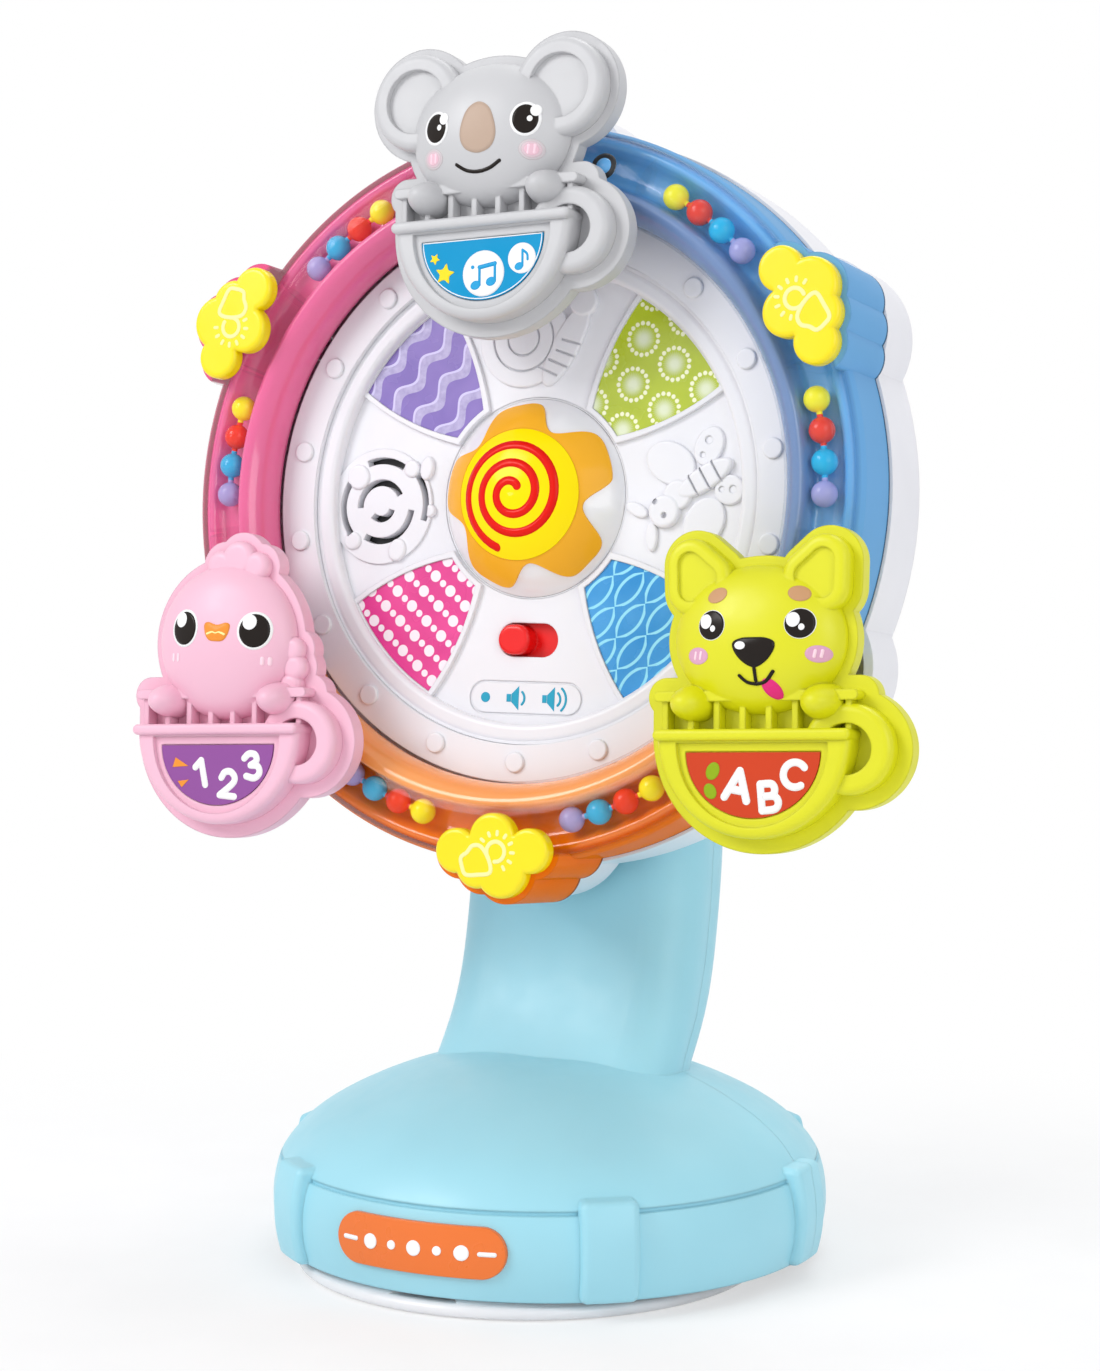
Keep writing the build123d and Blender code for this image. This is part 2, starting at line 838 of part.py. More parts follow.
def wheel_tub():
    points = [(spindle_radius + running_gap, tub_collar_back), (tub_collar_radius, tub_collar_back),
              (tub_collar_radius, tub_back), (tub_radius, tub_back), (tub_radius, tub_seam),
              (tub_radius - tub_wall, tub_seam), (tub_radius - tub_wall, tub_back + tub_wall),
              (tub_lip, tub_back + tub_wall), (tub_lip, band_front - band_thick),
              (tub_lip - tub_wall, band_front - band_thick), (tub_lip - tub_wall, tub_back + tub_wall),
              (spindle_radius + running_gap, tub_back + tub_wall)]
    tub = spun(points)
    for angle in bump_angles:
        x, y = polar(bump_ring, angle)
        bump = rod(bump_radius, tub_back, tub_seam, x, y)
        bump = soften(bump, tub_back, edge_round)
        tub += bump - rod(tub_radius - tub_wall, tub_back + tub_wall, tub_seam)
        tub -= rod(bump_radius - tub_wall, tub_back + tub_wall, tub_seam, x, y) - rod(tub_lip, tub_back, 0)
    for angle in gondola_angles:
        x, y = polar(pin_ring, angle)
        post = rod(post_radius, tub_back + tub_wall / 2, post_top, x, y)
        tub += post - rod(tub_lip - tub_wall / 2, tub_back, post_top)
        tub -= rod(pin_radius + seat_gap, pin_foot - part_gap, post_top, x, y)
    for angle in cloud_angles:
        x, y = polar(cloud_ring, angle)
        tub -= Pos(x, y, 0) * screw_hole(tub_back + screw_sink, tub_seam)
    return tub


def wheel_band():
    band = tube(ring_in - part_gap, face_radius + moving_gap, band_front - band_thick, band_front)
    for step in range(rivet_count):
        x, y = polar(rivet_ring, (step + 0.5) * FULL_TURN / rivet_count)
        rivet = rod(rivet_radius, band_front - band_thick, band_front + rivet_rise, x, y)
        band += soften(rivet, band_front + rivet_rise, rivet_rise / 2)
    return band


def ring_solid(wall, low, start, end):
    """The ring's bowed section, wall inside its skin, turned from start to end degrees."""
    inner = ring_in + wall
    outer = ring_out - wall
    crown = ThreePointArc((outer, 0), (ring_crown_r, ring_crown - wall), (inner, ring_inner_edge))
    sides = Polyline((inner, ring_inner_edge), (inner, low), (outer, low), (outer, 0))
    whole = revolve(Plane.XZ * make_face(crown + sides), axis=Axis.Z, revolution_arc=end - start)
    return Rot(0, 0, start) * whole


def cloud_outline(margin):
    lobes = None
    for x, y, r in cloud_shares:
        lobe = Pos(x * cloud_half, y * cloud_half) * Circle(r * cloud_half + margin)
        lobes = lobe if lobes is None else lobes + lobe
    return lobes


def at_cloud(angle, sketch):
    x, y = polar(cloud_ring, angle)
    return Pos(x, y) * Rot(0, 0, angle - 90.0) * sketch


def ring_segment(angle, cloud_angle):
    body = ring_solid(0, tub_seam, angle - segment_half, angle + segment_half)
    body += plate(at_cloud(cloud_angle, cloud_outline(cloud_margin)), tub_seam, cloud_base)
    edge_angle = segment_half - degrees(asin(ring_wall / ring_in))
    first = pocket_centre - pocket_half
    last = pocket_centre + pocket_half
    spans = [(-edge_angle, -last - rib_angle), (-last, -first), (-first + rib_angle, first - rib_angle),
             (first, last), (last + rib_angle, edge_angle)]
    for start, end in spans:
        body -= ring_solid(ring_wall, tub_seam - ring_wall, angle + start, angle + end)
    x, y = polar(cloud_ring, cloud_angle)
    return body - rod(screw_radius + seat_gap, tub_seam, 0, x, y)


def cloud_badge(angle):
    badge = plate(at_cloud(angle, cloud_outline(0)), cloud_base, cloud_base + cloud_thick)
    return soften(badge, cloud_base + cloud_thick, cloud_round)


def bead_row(angle):
    row = None
    for step in range(bead_count):
        x, y = polar(bead_ring, angle + (step - (bead_count - 1) / 2) * bead_pitch)
        bead = Pos(x, y, bead_z) * Sphere(bead_radius)
        row = bead if row is None else row + bead
    span = (bead_count - 1) * bead_pitch
    wire = revolve(Plane.XZ * (Pos(bead_ring, bead_z) * Circle(bead_core)), axis=Axis.Z, revolution_arc=span)
    return row + Rot(0, 0, angle - span / 2) * wire


def gondola_pins():
    pins = []
    for angle in gondola_angles:
        x, y = polar(pin_ring, angle)
        head_low = gondola_back + gondola_floor + moving_gap
        pin = rod(pin_radius - running_gap, pin_foot, head_low + pin_head_thick, x, y)
        pins.append(pin + rod(pin_head_radius, head_low, head_low + pin_head_thick, x, y))
    return Compound(children=pins)


# Gondolas, drawn about their own pivot


def bowl_outline(grow):
    whole = Pos(0, bowl_top) * Ellipse(bowl_half + grow, bowl_deep + grow)
    below = Rectangle(bowl_half * 4, bowl_deep * 4, align=(Align.CENTER, Align.MAX))
    return whole & (Pos(0, bowl_top) * below)


def pad(sketch, low, high, round_low):
    """A plate with its outer edges rounded on the low or the high side."""
    return soften(plate(sketch, low, high), low if round_low else high, edge_round)


def bowl(grow, low, high, round_low):
    whole = pad(Pos(0, bowl_top) * Ellipse(bowl_half + grow, bowl_deep + grow), low, high, round_low)
    return whole - slab(bowl_half * 4, bowl_deep * 2, low, high, 0, bowl_top + bowl_deep)


def handle_outline(grow):
    return Pos(handle_x, handle_y) * Ellipse(handle_half_x + grow, handle_half_y + grow)


def back_bar_outline(grow):
    bar = SlotOverall((back_bar_half + grow) * 2, back_bar_height + grow * 2)
    return Pos(0, bowl_top + rail_height) * bar


def head_outline(head, grow):
    return Pos(0, head[2]) * Ellipse(head[0] + grow, head[1] + grow)


def disc_outline(place, grow):
    return Pos(place[0], place[1]) * Circle(place[2] + grow)


def dog_ear(side, grow):
    half, tall, up = dog_head
    points = [(side * x * half, up + y * tall) for x, y in dog_ear_shares]
    corner = make_face(Polyline(*points, close=True))
    corner = fillet(corner.vertices(), dog_ear_round)
    return offset(corner, grow) if grow else corner


def trim_outlines(kind, grow):
    """The ears, crest or feathers of one animal."""
    if kind == "koala":
        x, y, r = koala_ear
        return [disc_outline((side * x, y, r), grow) for side in (-1, 1)]
    if kind == "dog":
        return [dog_ear(side, grow) for side in (-1, 1)]
    half, tall, up = bird_head
    shares = crest_shares + feather_shares
    return [disc_outline((x * half, up + y * tall, r * half), grow) for x, y, r in shares]


heads = {"koala": koala_head, "bird": bird_head, "dog": dog_head}


def rear_shell(kind):
    back = gondola_back
    seat = gondola_joint
    shell = bowl(bowl_grow, back, seat, True)
    shell += slab(neck_width, neck_height, back + edge_round, seat, 0, bowl_top)
    wide = (bowl_half + bowl_grow) * 2
    shell += slab(wide, rail_height, back + edge_round, seat, 0, bowl_top + rail_height / 2)
    outlines = [handle_outline(bowl_grow), back_bar_outline(bowl_grow), head_outline(heads[kind], shell_grow)]
    for outline in outlines + trim_outlines(kind, shell_grow):
        shell += pad(outline, back, seat, True)
    shell -= rod(pin_radius, back, seat)
    shell -= rod(pin_head_radius + moving_gap, back + gondola_floor, seat)
    return shell


def sticker_outline(inset):
    wide = sticker_half - inset
    deep = sticker_deep - inset * 2
    top = bowl_top - sticker_drop - inset
    whole = Pos(0, top) * Ellipse(wide, deep)
    return whole & (Pos(0, top) * Rectangle(wide * 4, deep * 4, align=(Align.CENTER, Align.MAX)))


def dome(half, tall, rise, x, y):
    """The upper half of an egg on the gondola's joint."""
    egg = scale(Sphere(half), (half / half, tall / half, rise / half))
    return Pos(x, y, gondola_joint) * egg & rod(bowl_half * 4, gondola_joint, gondola_front * 2)


def front_shell(kind):
    low = gondola_joint
    high = gondola_front
    shell = bowl(0, low, high, False)
    shell += pad(handle_outline(0), low, high - edge_round, False)
    hole = Ellipse(handle_half_x * handle_hole_share, handle_half_y * handle_hole_share)
    hole = plate(Pos(handle_x, handle_y) * hole, low, high)
    shell -= hole - plate(bowl_outline(0), low, high)
    trim_high = low + bird_trim_rise if kind == "bird" else high - edge_round
    for outline in trim_outlines(kind, 0):
        shell += pad(outline, low, trim_high, False)
    if kind == "koala":
        x, y, r = koala_ear
        for side in (-1, 1):
            shell -= rod(r * ear_hollow_share, high - edge_round - ear_sink, high, side * x, y)
    if kind == "dog":
        for side in (-1, 1):
            shell -= plate(dog_ear(side, -dog_ear_inset), high - edge_round - dog_ear_sink, high)
    half, tall, up = heads[kind]
    shell += dome(half, tall, high - low + head_bulge, 0, up)
    shell += plate(back_bar_outline(0), low, back_bar_front)
    bar = Pos(0, bowl_top) * SlotOverall(rim_bar_half * 2, rim_bar_height)
    shell += soften(plate(bar, low, high + rim_bar_proud), high + rim_bar_proud, rim_bar_round)
    for step in range(rail_count):
        x = (step - (rail_count - 1) / 2) * rail_pitch
        shell += slab(rail_width, rail_height, low, rail_front, x, bowl_top + rail_height / 2)
    for side in (-1, 1):
        shell += dome(paw_half_x, paw_half_y, high - low + paw_bulge, side * paw_x, paw_y)
    shell -= plate(sticker_outline(-bowl_border), high - bowl_sink, high)
    shell -= plate(sticker_outline(0), high - sticker_sink, high)
    return shell


def sticker():
    low = gondola_front - sticker_sink
    return plate(sticker_outline(part_gap), low, low + sticker_thick)


def save_stand():
    front, rear = stand_shells()
    door = (rear & door_block(part_gap)) - in_box(Pos(0, tray_boss_y, 0) * screw_hole(door_screw_low(), 0))
    rear -= door_block(0)
    save(front, "stand_front_shell")
    save(rear, "stand_rear_shell")
    save(door, "battery_door")
    low = door_screw_low()
    save(in_box(Pos(0, tray_boss_y, 0) * screw(low, low + door_screw_length)), "door_screw")
    save(base_plate(), "base_plate")
    save(suction_cup(), "suction_cup")
    clamp_low = plate_bottom + plate_thick
    save(tube(clamp_radius, cup_stem_radius + seat_gap, clamp_low, clamp_low + clamp_thick), "cup_clamp")
    save(label_plate(), "label_plate")
    head_low = plate_bottom + screw_sink
    short = screw(0, base_rim_top - head_low)
    screws = [Pos(x, y, head_low) * short for x, y in base_boss_places()]
    save(Compound(children=screws), "base_screws")
    long = screw(screw_sink, column_depth - column_wall * 2)
    screws = [shell_screw_line(x, z).location * long for x, z in shell_boss_places]
    save(Compound(children=screws), "shell_screws")
    save(in_box(battery_tray()), "battery_tray")
    for name, step in (("left", -1), ("middle", 0), ("right", 1)):
        save(in_box(cell(step * cell_pitch)), "battery_cell_" + name)
    save(in_box(contact(1)), "contact_plate_top")
    save(in_box(contact(-1)), "contact_plate_bottom")


def save_hub():
    save(on_wheel(hub_housing()), "hub_housing")
    save(on_wheel(hub_face()), "hub_face")
    for name, angle in (("green", 45.0), ("purple", 135.0), ("magenta", 225.0), ("blue", 315.0)):
        save(on_wheel(panel(angle)), "panel_" + name)
    bore = spindle_radius + seat_gap
    save(on_wheel(tube(washer_radius, bore, hub_back - washer_thick, hub_back)), "bearing_washer")
    front_wall = -(column_y(axle_z) - column_depth / 2 - axle_y) * cos(radians(lean))
    nut_high = front_wall - column_wall - part_gap
    save(on_wheel(tube(nut_radius, bore, nut_high - nut_thick, nut_high)), "spindle_nut")
    screws = [Pos(x, y, 0) * screw(hub_back + screw_sink, face_front - face_thick) for x, y in hub_posts()]
    save(on_wheel(Compound(children=screws)), "hub_screws")
    board = slab(board_width, board_height, board_top - board_thick, board_top, board_x, board_y)
    save(on_wheel(board), "circuit_board")
    save(on_wheel(speaker()), "speaker")
    lamp = soften(rod(lamp_radius, board_top, lamp_top, lamp_x, lamp_y), lamp_top, lamp_radius / 2)
    save(on_wheel(lamp), "lamp")
    push_top = plunger_end - button_travel - push_clear
    save(on_wheel(slab(push_size, push_size, board_top, push_top)), "push_switch")
    save(on_wheel(switch_body()), "switch_body")
    save(on_wheel(switch_knob()), "switch_knob")
    splash, disc = button_skins()
    save(on_wheel(button_dome()), "button_dome")
    save(on_wheel(splash), "button_splash")
    save(on_wheel(disc), "button_disc")
    save(on_wheel(button_spring()), "button_spring")


def save_wheel():
    save(on_wheel(wheel_tub()), "wheel_tub")
    save(on_wheel(wheel_band()), "wheel_band")
    for name, angle, cloud_angle in zip(("pink", "blue", "orange"), ring_angles, cloud_angles):
        save(on_wheel(ring_segment(angle, cloud_angle)), "ring_" + name)
        save(on_wheel(cloud_badge(cloud_angle)), "cloud_" + name)
        save(on_wheel(bead_row(angle - pocket_centre)), "beads_" + name + "_a")
        save(on_wheel(bead_row(angle + pocket_centre)), "beads_" + name + "_b")
    screws = [Pos(*polar(cloud_ring, angle), 0) * screw(tub_back + screw_sink, 0) for angle in cloud_angles]
    save(on_wheel(Compound(children=screws)), "ring_screws")
    save(on_wheel(gondola_pins()), "gondola_pins")


def save_gondolas():
    for kind, angle in zip(("koala", "bird", "dog"), gondola_angles):
        x, y = polar(pin_ring, angle)
        spot = wheel_frame.location * Pos(x, y, 0) * Rot(0, 0, gondola_tilt)
        save(spot * rear_shell(kind), kind + "_rear_shell")
        save(spot * front_shell(kind), kind + "_front_shell")
        save(spot * sticker(), kind + "_sticker")


os.makedirs("parts", exist_ok=True)
save_stand()
save_hub()
save_wheel()
save_gondolas()
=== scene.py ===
import math

import bpy
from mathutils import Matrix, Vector


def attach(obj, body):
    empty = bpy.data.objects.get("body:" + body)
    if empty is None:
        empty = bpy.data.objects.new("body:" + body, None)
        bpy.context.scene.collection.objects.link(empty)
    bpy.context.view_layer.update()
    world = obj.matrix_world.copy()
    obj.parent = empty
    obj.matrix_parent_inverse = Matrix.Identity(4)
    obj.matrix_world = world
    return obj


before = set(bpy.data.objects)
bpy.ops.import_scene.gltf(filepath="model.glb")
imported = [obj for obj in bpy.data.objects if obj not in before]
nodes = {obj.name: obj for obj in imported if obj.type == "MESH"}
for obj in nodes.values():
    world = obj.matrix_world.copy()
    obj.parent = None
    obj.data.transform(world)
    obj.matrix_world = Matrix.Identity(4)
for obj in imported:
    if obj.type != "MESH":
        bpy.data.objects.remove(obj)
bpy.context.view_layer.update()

# Sizes are in millimetres and angles in degrees, unless a comment says otherwise
MM = 0.001

# The wheel's own frame: u to the right, v up the face, d out of the face
LEAN = math.radians(6.0)
AXLE = Vector((0.0, -5.7, 158.2))
U = Vector((1.0, 0.0, 0.0))
V = Vector((0.0, math.sin(LEAN), math.cos(LEAN)))
N = Vector((0.0, -math.cos(LEAN), math.sin(LEAN)))

# The hub, its button and the row of signs below its switch
FACE = -8.0
FACE_RADIUS = 50.4
BUTTON_RADIUS = 20.4
BUTTON_RISE = 10.5
DISC_RADIUS = 13.4
DISC_THICK = 0.6
DISC_GAP = 0.2
RUNNING_GAP = 0.4
SIGN_ROW = -41.2

# The ring, its sections given as points of radius and depth
RING_ANGLES = {"pink": 150.0, "blue": 30.0, "orange": 270.0}
RING_SECTION = ((75.0, 0.0), (67.3, 7.2), (58.8, -4.3))
RING_BACK = -13.0
RING_THICK_FROM = 74.0
BED_SECTION = (
    (59.2, -4.5), (58.75, -2.8), (58.7, -0.6), (59.1, 1.4), (59.9, 3.0), (61.2, 4.5), (62.5, 5.4),
    (63.5, 5.2), (64.1, 3.6), (64.4, 0.6), (65.0, -0.4), (66.0, -0.6), (69.0, -0.6), (70.4, -0.2),
    (71.3, 1.8), (72.4, 2.7), (73.4, 1.9), (73.9, -0.2), (73.9, -12.0),
)
BED_HALF_SPAN = 51.2
BED_TONE_EDGE = 64.4
BEAD_RING = 67.4
BEAD_PITCH = 5.25
BEAD_ROW_ANGLE = 22.4
STUD_ANGLE = 43.2
CLOUD_RING = 73.0
CLOUD_TOP = 10.7
CLOUD_ANGLES = {"pink": 151.0, "blue": 29.0, "orange": 272.5}

# The gondolas: a head has a half width, a half height and a middle that lies above the pin
PIN_RING = 68.0
PIN_ANGLES = {"koala": 91.9, "bird": 210.7, "dog": 332.4}
TILT = 2.5
SHELL_SEAM = 13.0
HEAD_RISE = 7.8
HEADS = {"koala": (17.6, 14.4, 2.4), "bird": (16.4, 16.2, 2.5), "dog": (17.4, 14.2, 2.4)}
FACE_SLIDE = {"koala": 0.3, "bird": 1.2, "dog": 1.3}
FACE_TURN = {"koala": 0.0, "bird": -3.0, "dog": 0.0}
STICKER_FRONT = 17.7

# The base, its section given as points of reach and height, its label and the cells above it
BASE_Y = 9.0
BASE_SECTION = ((56.4, 3.6), (58.0, 12.0), (56.4, 20.8))
LABEL_Z = 13.4
LABEL_RISE = 0.9
CELL_BAND_Z = 122.0

# How plastic varies: patches and grain per metre, and the grain's depth in metres
TINT_SHADE = 0.955
GLOSS_PATCH = 190.0
GLOSS_SHARE = 0.14
GRAIN_SCALE = 2600.0
GRAIN_DEPTH = 0.0002
NOISE_SPAN = (0.3, 0.7)

# How deep the edge of a drawn patch or line sinks below its surface
PATCH_SKIRT = 0.25
LINE_SKIRT = 0.2

# The camera, whose places are in metres, and the light
PHOTO_HEIGHT = 1371.0
FOCAL_PIXELS = 2840.0
SENSOR = 36.0
CAMERA_PLACE = (0.2636, -0.5197, 0.1572)
CAMERA_AIM = (0.00364, 0.00181, 0.11892)
SOFT_TINT = (0.96, 0.97, 1.0, 1.0)
SOFT_STRENGTH = 0.58
WHITE = (1.0, 1.0, 1.0, 1.0)
BLACK = (0.0, 0.0, 0.0, 1.0)


def wheel_spot(u, v, d):
    return (AXLE + U * u + V * v + N * d) * MM


def polar(radius, degrees):
    return radius * math.cos(math.radians(degrees)), radius * math.sin(math.radians(degrees))


def turned(x, y, degrees):
    c, s = math.cos(math.radians(degrees)), math.sin(math.radians(degrees))
    return x * c - y * s, x * s + y * c


def spot_about(radius, angle, turn):
    """Places points that are given about a place on the wheel, in a frame turned there."""
    pu, pv = polar(radius, angle)

    def spot(x, y, d):
        u, v = turned(x, y, turn)
        return wheel_spot(pu + u, pv + v, d)

    return spot


def figure_spot(kind):
    """A gondola's own frame, about its pin."""
    return spot_about(PIN_RING, PIN_ANGLES[kind], TILT)


def cloud_spot(name):
    """A cloud's own frame: x along the rim, y towards the axle."""
    return spot_about(CLOUD_RING, CLOUD_ANGLES[name], CLOUD_ANGLES[name] + 90.0)


def flat(height):
    return lambda x, y: height


def head_height(kind):
    """The bowed front of a gondola's head."""
    half, tall, up = HEADS[kind]

    def height(x, y):
        left = 1.0 - (x / half) ** 2 - ((y - up) / tall) ** 2
        return SHELL_SEAM + HEAD_RISE * math.sqrt(max(0.0, left))

    return height


def face_frame(kind):
    """Places a printed face on its head, slid and turned a little as the prints are."""
    spot, height = figure_spot(kind), head_height(kind)

    def moved(x, y):
        x, y = turned(x, y, FACE_TURN[kind])
        return FACE_SLIDE[kind] + x, y

    return lambda x, y, d: spot(*moved(x, y), d), lambda x, y: height(*moved(x, y))


def circle_through(a, b, c):
    """Middle and radius of the circle through three points."""
    d = 2.0 * (a[0] * (b[1] - c[1]) + b[0] * (c[1] - a[1]) + c[0] * (a[1] - b[1]))
    sa, sb, sc = (p[0] * p[0] + p[1] * p[1] for p in (a, b, c))
    x = (sa * (b[1] - c[1]) + sb * (c[1] - a[1]) + sc * (a[1] - b[1])) / d
    y = (sa * (c[0] - b[0]) + sb * (a[0] - c[0]) + sc * (b[0] - a[0])) / d
    return x, y, math.hypot(a[0] - x, a[1] - y)


def ring_height(u, v):
    """The bowed top of the coloured ring."""
    x, y, radius = circle_through(*RING_SECTION)
    return y + math.sqrt(radius ** 2 - (math.hypot(u, v) - x) ** 2)


def base_reach(z):
    """The bowed side of the base: how far it reaches from its middle at a height."""
    x, y, radius = circle_through(*BASE_SECTION)
    return x + math.sqrt(radius ** 2 - (z - y) ** 2)


def cap_height(extra):
    """The button's ball cap, with a skin that much thicker on it."""
    radius, rise = BUTTON_RADIUS + extra, BUTTON_RISE + extra
    ball = (radius * radius + rise * rise) / (2.0 * rise)
    return lambda x, y: FACE + rise - ball + math.sqrt(ball * ball - x * x - y * y)


# Materials


def colour(red, green, blue):
    """A colour as a screen shows it, in the linear values that a shader takes."""
    def linear(c):
        c = c / 255.0
        return c / 12.92 if c <= 0.04045 else ((c + 0.055) / 1.055) ** 2.4

    return (linear(red), linear(green), linear(blue), 1.0)


def shade(rgba, factor):
    return tuple(min(1.0, c * factor) for c in rgba[:3]) + (1.0,)


class Graph:
    """Short words for the nodes of one material."""

    def __init__(self, name):
        self.material = bpy.data.materials.new(name)
        self.material.use_nodes = True
        self.tree = self.material.node_tree
        self.shader = self.tree.nodes["Principled BSDF"]
        self.output = self.tree.nodes["Material Output"]
        self.coords = self.tree.nodes.new("ShaderNodeTexCoord").outputs["Object"]

    def node(self, kind, **settings):
        made = self.tree.nodes.new(kind)
        for key, value in settings.items():
            setattr(made, key, value)
        return made

    def feed(self, socket, value):
        if isinstance(value, bpy.types.NodeSocket):
            self.tree.links.new(value, socket)
        else:
            socket.default_value = value

    def math(self, operation, a, b=0.0):
        made = self.node("ShaderNodeMath", operation=operation)
        self.feed(made.inputs[0], a)
        self.feed(made.inputs[1], b)
        return made.outputs[0]

    def add(self, a, b):
        return self.math("ADD", a, b)

    def sub(self, a, b):
        return self.math("SUBTRACT", a, b)

    def mul(self, a, b):
        return self.math("MULTIPLY", a, b)

    def hypot(self, a, b):
        return self.math("SQRT", self.add(self.mul(a, a), self.mul(b, b)))

    def dot(self, direction):
        made = self.node("ShaderNodeVectorMath", operation="DOT_PRODUCT")
        self.feed(made.inputs[0], self.coords)
        made.inputs[1].default_value = direction
        return made.outputs["Value"]

    def along(self, axis, start=0.0):
        """Millimetres along an axis of the wheel's frame, from that far past the axle."""
        return self.sub(self.mul(self.dot(axis), 1.0 / MM), AXLE.dot(axis) + start)

    def radius(self):
        """Millimetres from the axle."""
        return self.hypot(self.along(U), self.along(V))

    def ramp(self, value, span, to, **settings):
        """Maps one span of values to another, and holds the value at the ends."""
        made = self.node("ShaderNodeMapRange", **settings)
        self.feed(made.inputs["Value"], value)
        made.inputs["From Min"].default_value, made.inputs["From Max"].default_value = span
        made.inputs["To Min"].default_value, made.inputs["To Max"].default_value = to
        return made.outputs["Result"]

    def below(self, value, edge, soft):
        """1 under the edge, 0 over it, with a soft border."""
        return self.ramp(value, (edge - soft, edge + soft), (1.0, 0.0))

    def mix(self, factor, a, b):
        made = self.node("ShaderNodeMix", data_type="RGBA")
        self.feed(made.inputs["Factor"], factor)
        self.feed(made.inputs[6], a)
        self.feed(made.inputs[7], b)
        return made.outputs[2]

    def blend(self, factor, first, second):
        """One shader over another."""
        made = self.node("ShaderNodeMixShader")
        for socket, value in zip(made.inputs, (factor, first, second)):
            self.feed(socket, value)
        return made.outputs[0]

    def slant(self, curve):
        """How far the surface is turned away from the eye."""
        made = self.node("ShaderNodeLayerWeight")
        made.inputs["Blend"].default_value = curve
        return made.outputs["Facing"]

    def noise(self, scale, detail=2.0):
        made = self.node("ShaderNodeTexNoise")
        self.feed(made.inputs["Vector"], self.coords)
        made.inputs["Scale"].default_value = scale
        made.inputs["Detail"].default_value = detail
        return made.outputs["Fac"]

    def cloudy(self, scale, first, second, detail=2.0):
        """Patches of one colour in another."""
        return self.mix(self.ramp(self.noise(scale, detail), NOISE_SPAN, (0.0, 1.0)), first, second)

    def finish(self, base, rough, grain, bevel=0.0, coat=0.0, patch=38.0):
        """Cloudy colour, uneven gloss and a fine moulded grain over the base colour."""
        self.feed(self.shader.inputs["Base Color"], self.cloudy(patch, shade_of(self, base), base))
        gloss = rough * (1.0 - GLOSS_SHARE), rough * (1.0 + GLOSS_SHARE)
        self.feed(self.shader.inputs["Roughness"], self.ramp(self.noise(GLOSS_PATCH), NOISE_SPAN, gloss))
        bump = self.node("ShaderNodeBump")
        bump.inputs["Strength"].default_value = grain
        bump.inputs["Distance"].default_value = GRAIN_DEPTH
        self.feed(bump.inputs["Height"], self.noise(GRAIN_SCALE, detail=3.0))
        if bevel:
            soft = self.node("ShaderNodeBevel", samples=4)
            soft.inputs["Radius"].default_value = bevel
            self.feed(bump.inputs["Normal"], soft.outputs["Normal"])
        self.feed(self.shader.inputs["Normal"], bump.outputs["Normal"])
        if coat:
            self.shader.inputs["Coat Weight"].default_value = coat
            self.shader.inputs["Coat Roughness"].default_value = 0.06
        return self.material


def shade_of(graph, base):
    """The same colour a little darker, for a plain colour or for a painted one."""
    if isinstance(base, bpy.types.NodeSocket):
        return graph.mix(1.0 - TINT_SHADE, base, BLACK)
    return shade(base, TINT_SHADE)


def plastic(name, rgb, rough, grain, bevel=0.0004, coat=0.0):
    return Graph(name).finish(colour(*rgb), rough, grain, bevel, coat)


def ink(name, rgb, rough=0.3):
    """A printed colour, with less shine than moulded plastic."""
    graph = Graph(name)
    graph.shader.inputs["Specular IOR Level"].default_value = 0.15
    return graph.finish(colour(*rgb), rough, grain=0.03)


def metal(name, rgb):
    graph = Graph(name)
    graph.shader.inputs["Metallic"].default_value = 1.0
    return graph.finish(colour(*rgb), rough=0.3, grain=0.1, bevel=0.0002, patch=120.0)


def tinted(name, rgb, clear, thick_from=None):
    """A coloured see-through plastic: most of the light goes straight through its thin wall.

    From the given distance to the axle outwards a ring is thick, and shows its own colour. Its
    back edge, where it meets the tub, is darker: a thin strip of painted shade.
    """
    graph = Graph(name)
    paint = colour(*rgb)
    rough, film_clear, slanted_more = 0.07, 0.98, 0.08
    film = tuple(film_clear + (1.0 - film_clear) * c for c in paint[:3]) + (1.0,)
    share = graph.ramp(graph.slant(0.25), (0.0, 1.0), (1.0 - clear, 1.0 + slanted_more - clear))
    if thick_from:
        edge_width, painted_edge_shade, thick_share = 0.7, 0.3, 0.88
        # Painted shade: a thin darker strip along the back edge, where the ring meets the tub.
        edge = graph.below(graph.along(N), RING_BACK + edge_width, soft=0.15)
        paint = graph.mix(edge, paint, shade(paint, painted_edge_shade))
        thick = graph.sub(1.0, graph.below(graph.radius(), thick_from, soft=0.6))
        share = graph.math("MAXIMUM", share, graph.mul(thick, thick_share))
    graph.finish(paint, rough, grain=0.02, bevel=0.0005)
    graph.shader.inputs["Specular IOR Level"].default_value = 0.0
    through = graph.node("ShaderNodeBsdfTransparent")
    through.inputs["Color"].default_value = film
    body = graph.blend(share, through.outputs[0], graph.shader.outputs[0])
    shine = graph.node("ShaderNodeBsdfGlossy")
    shine.inputs["Roughness"].default_value = rough
    head_on, grazing, rise = 0.012, 0.25, 5.0
    glint = graph.add(graph.mul(graph.math("POWER", graph.slant(0.5), rise), grazing), head_on)
    graph.feed(graph.output.inputs["Surface"], graph.blend(glint, body, shine.outputs[0]))
    return graph.material


def rubber_clear(name):
    graph = Graph(name)
    graph.finish(colour(243, 243, 246), rough=0.24, grain=0.03, bevel=0.0004)
    graph.shader.inputs["Subsurface Weight"].default_value = 0.5
    graph.shader.inputs["Subsurface Radius"].default_value = (0.006, 0.006, 0.006)
    graph.shader.inputs["Subsurface Scale"].default_value = 1.0
    return graph.material


def film_finish(graph, paint):
    """The glossy film of the hub's four panels."""
    return graph.finish(paint, rough=0.26, grain=0.02, coat=0.3)


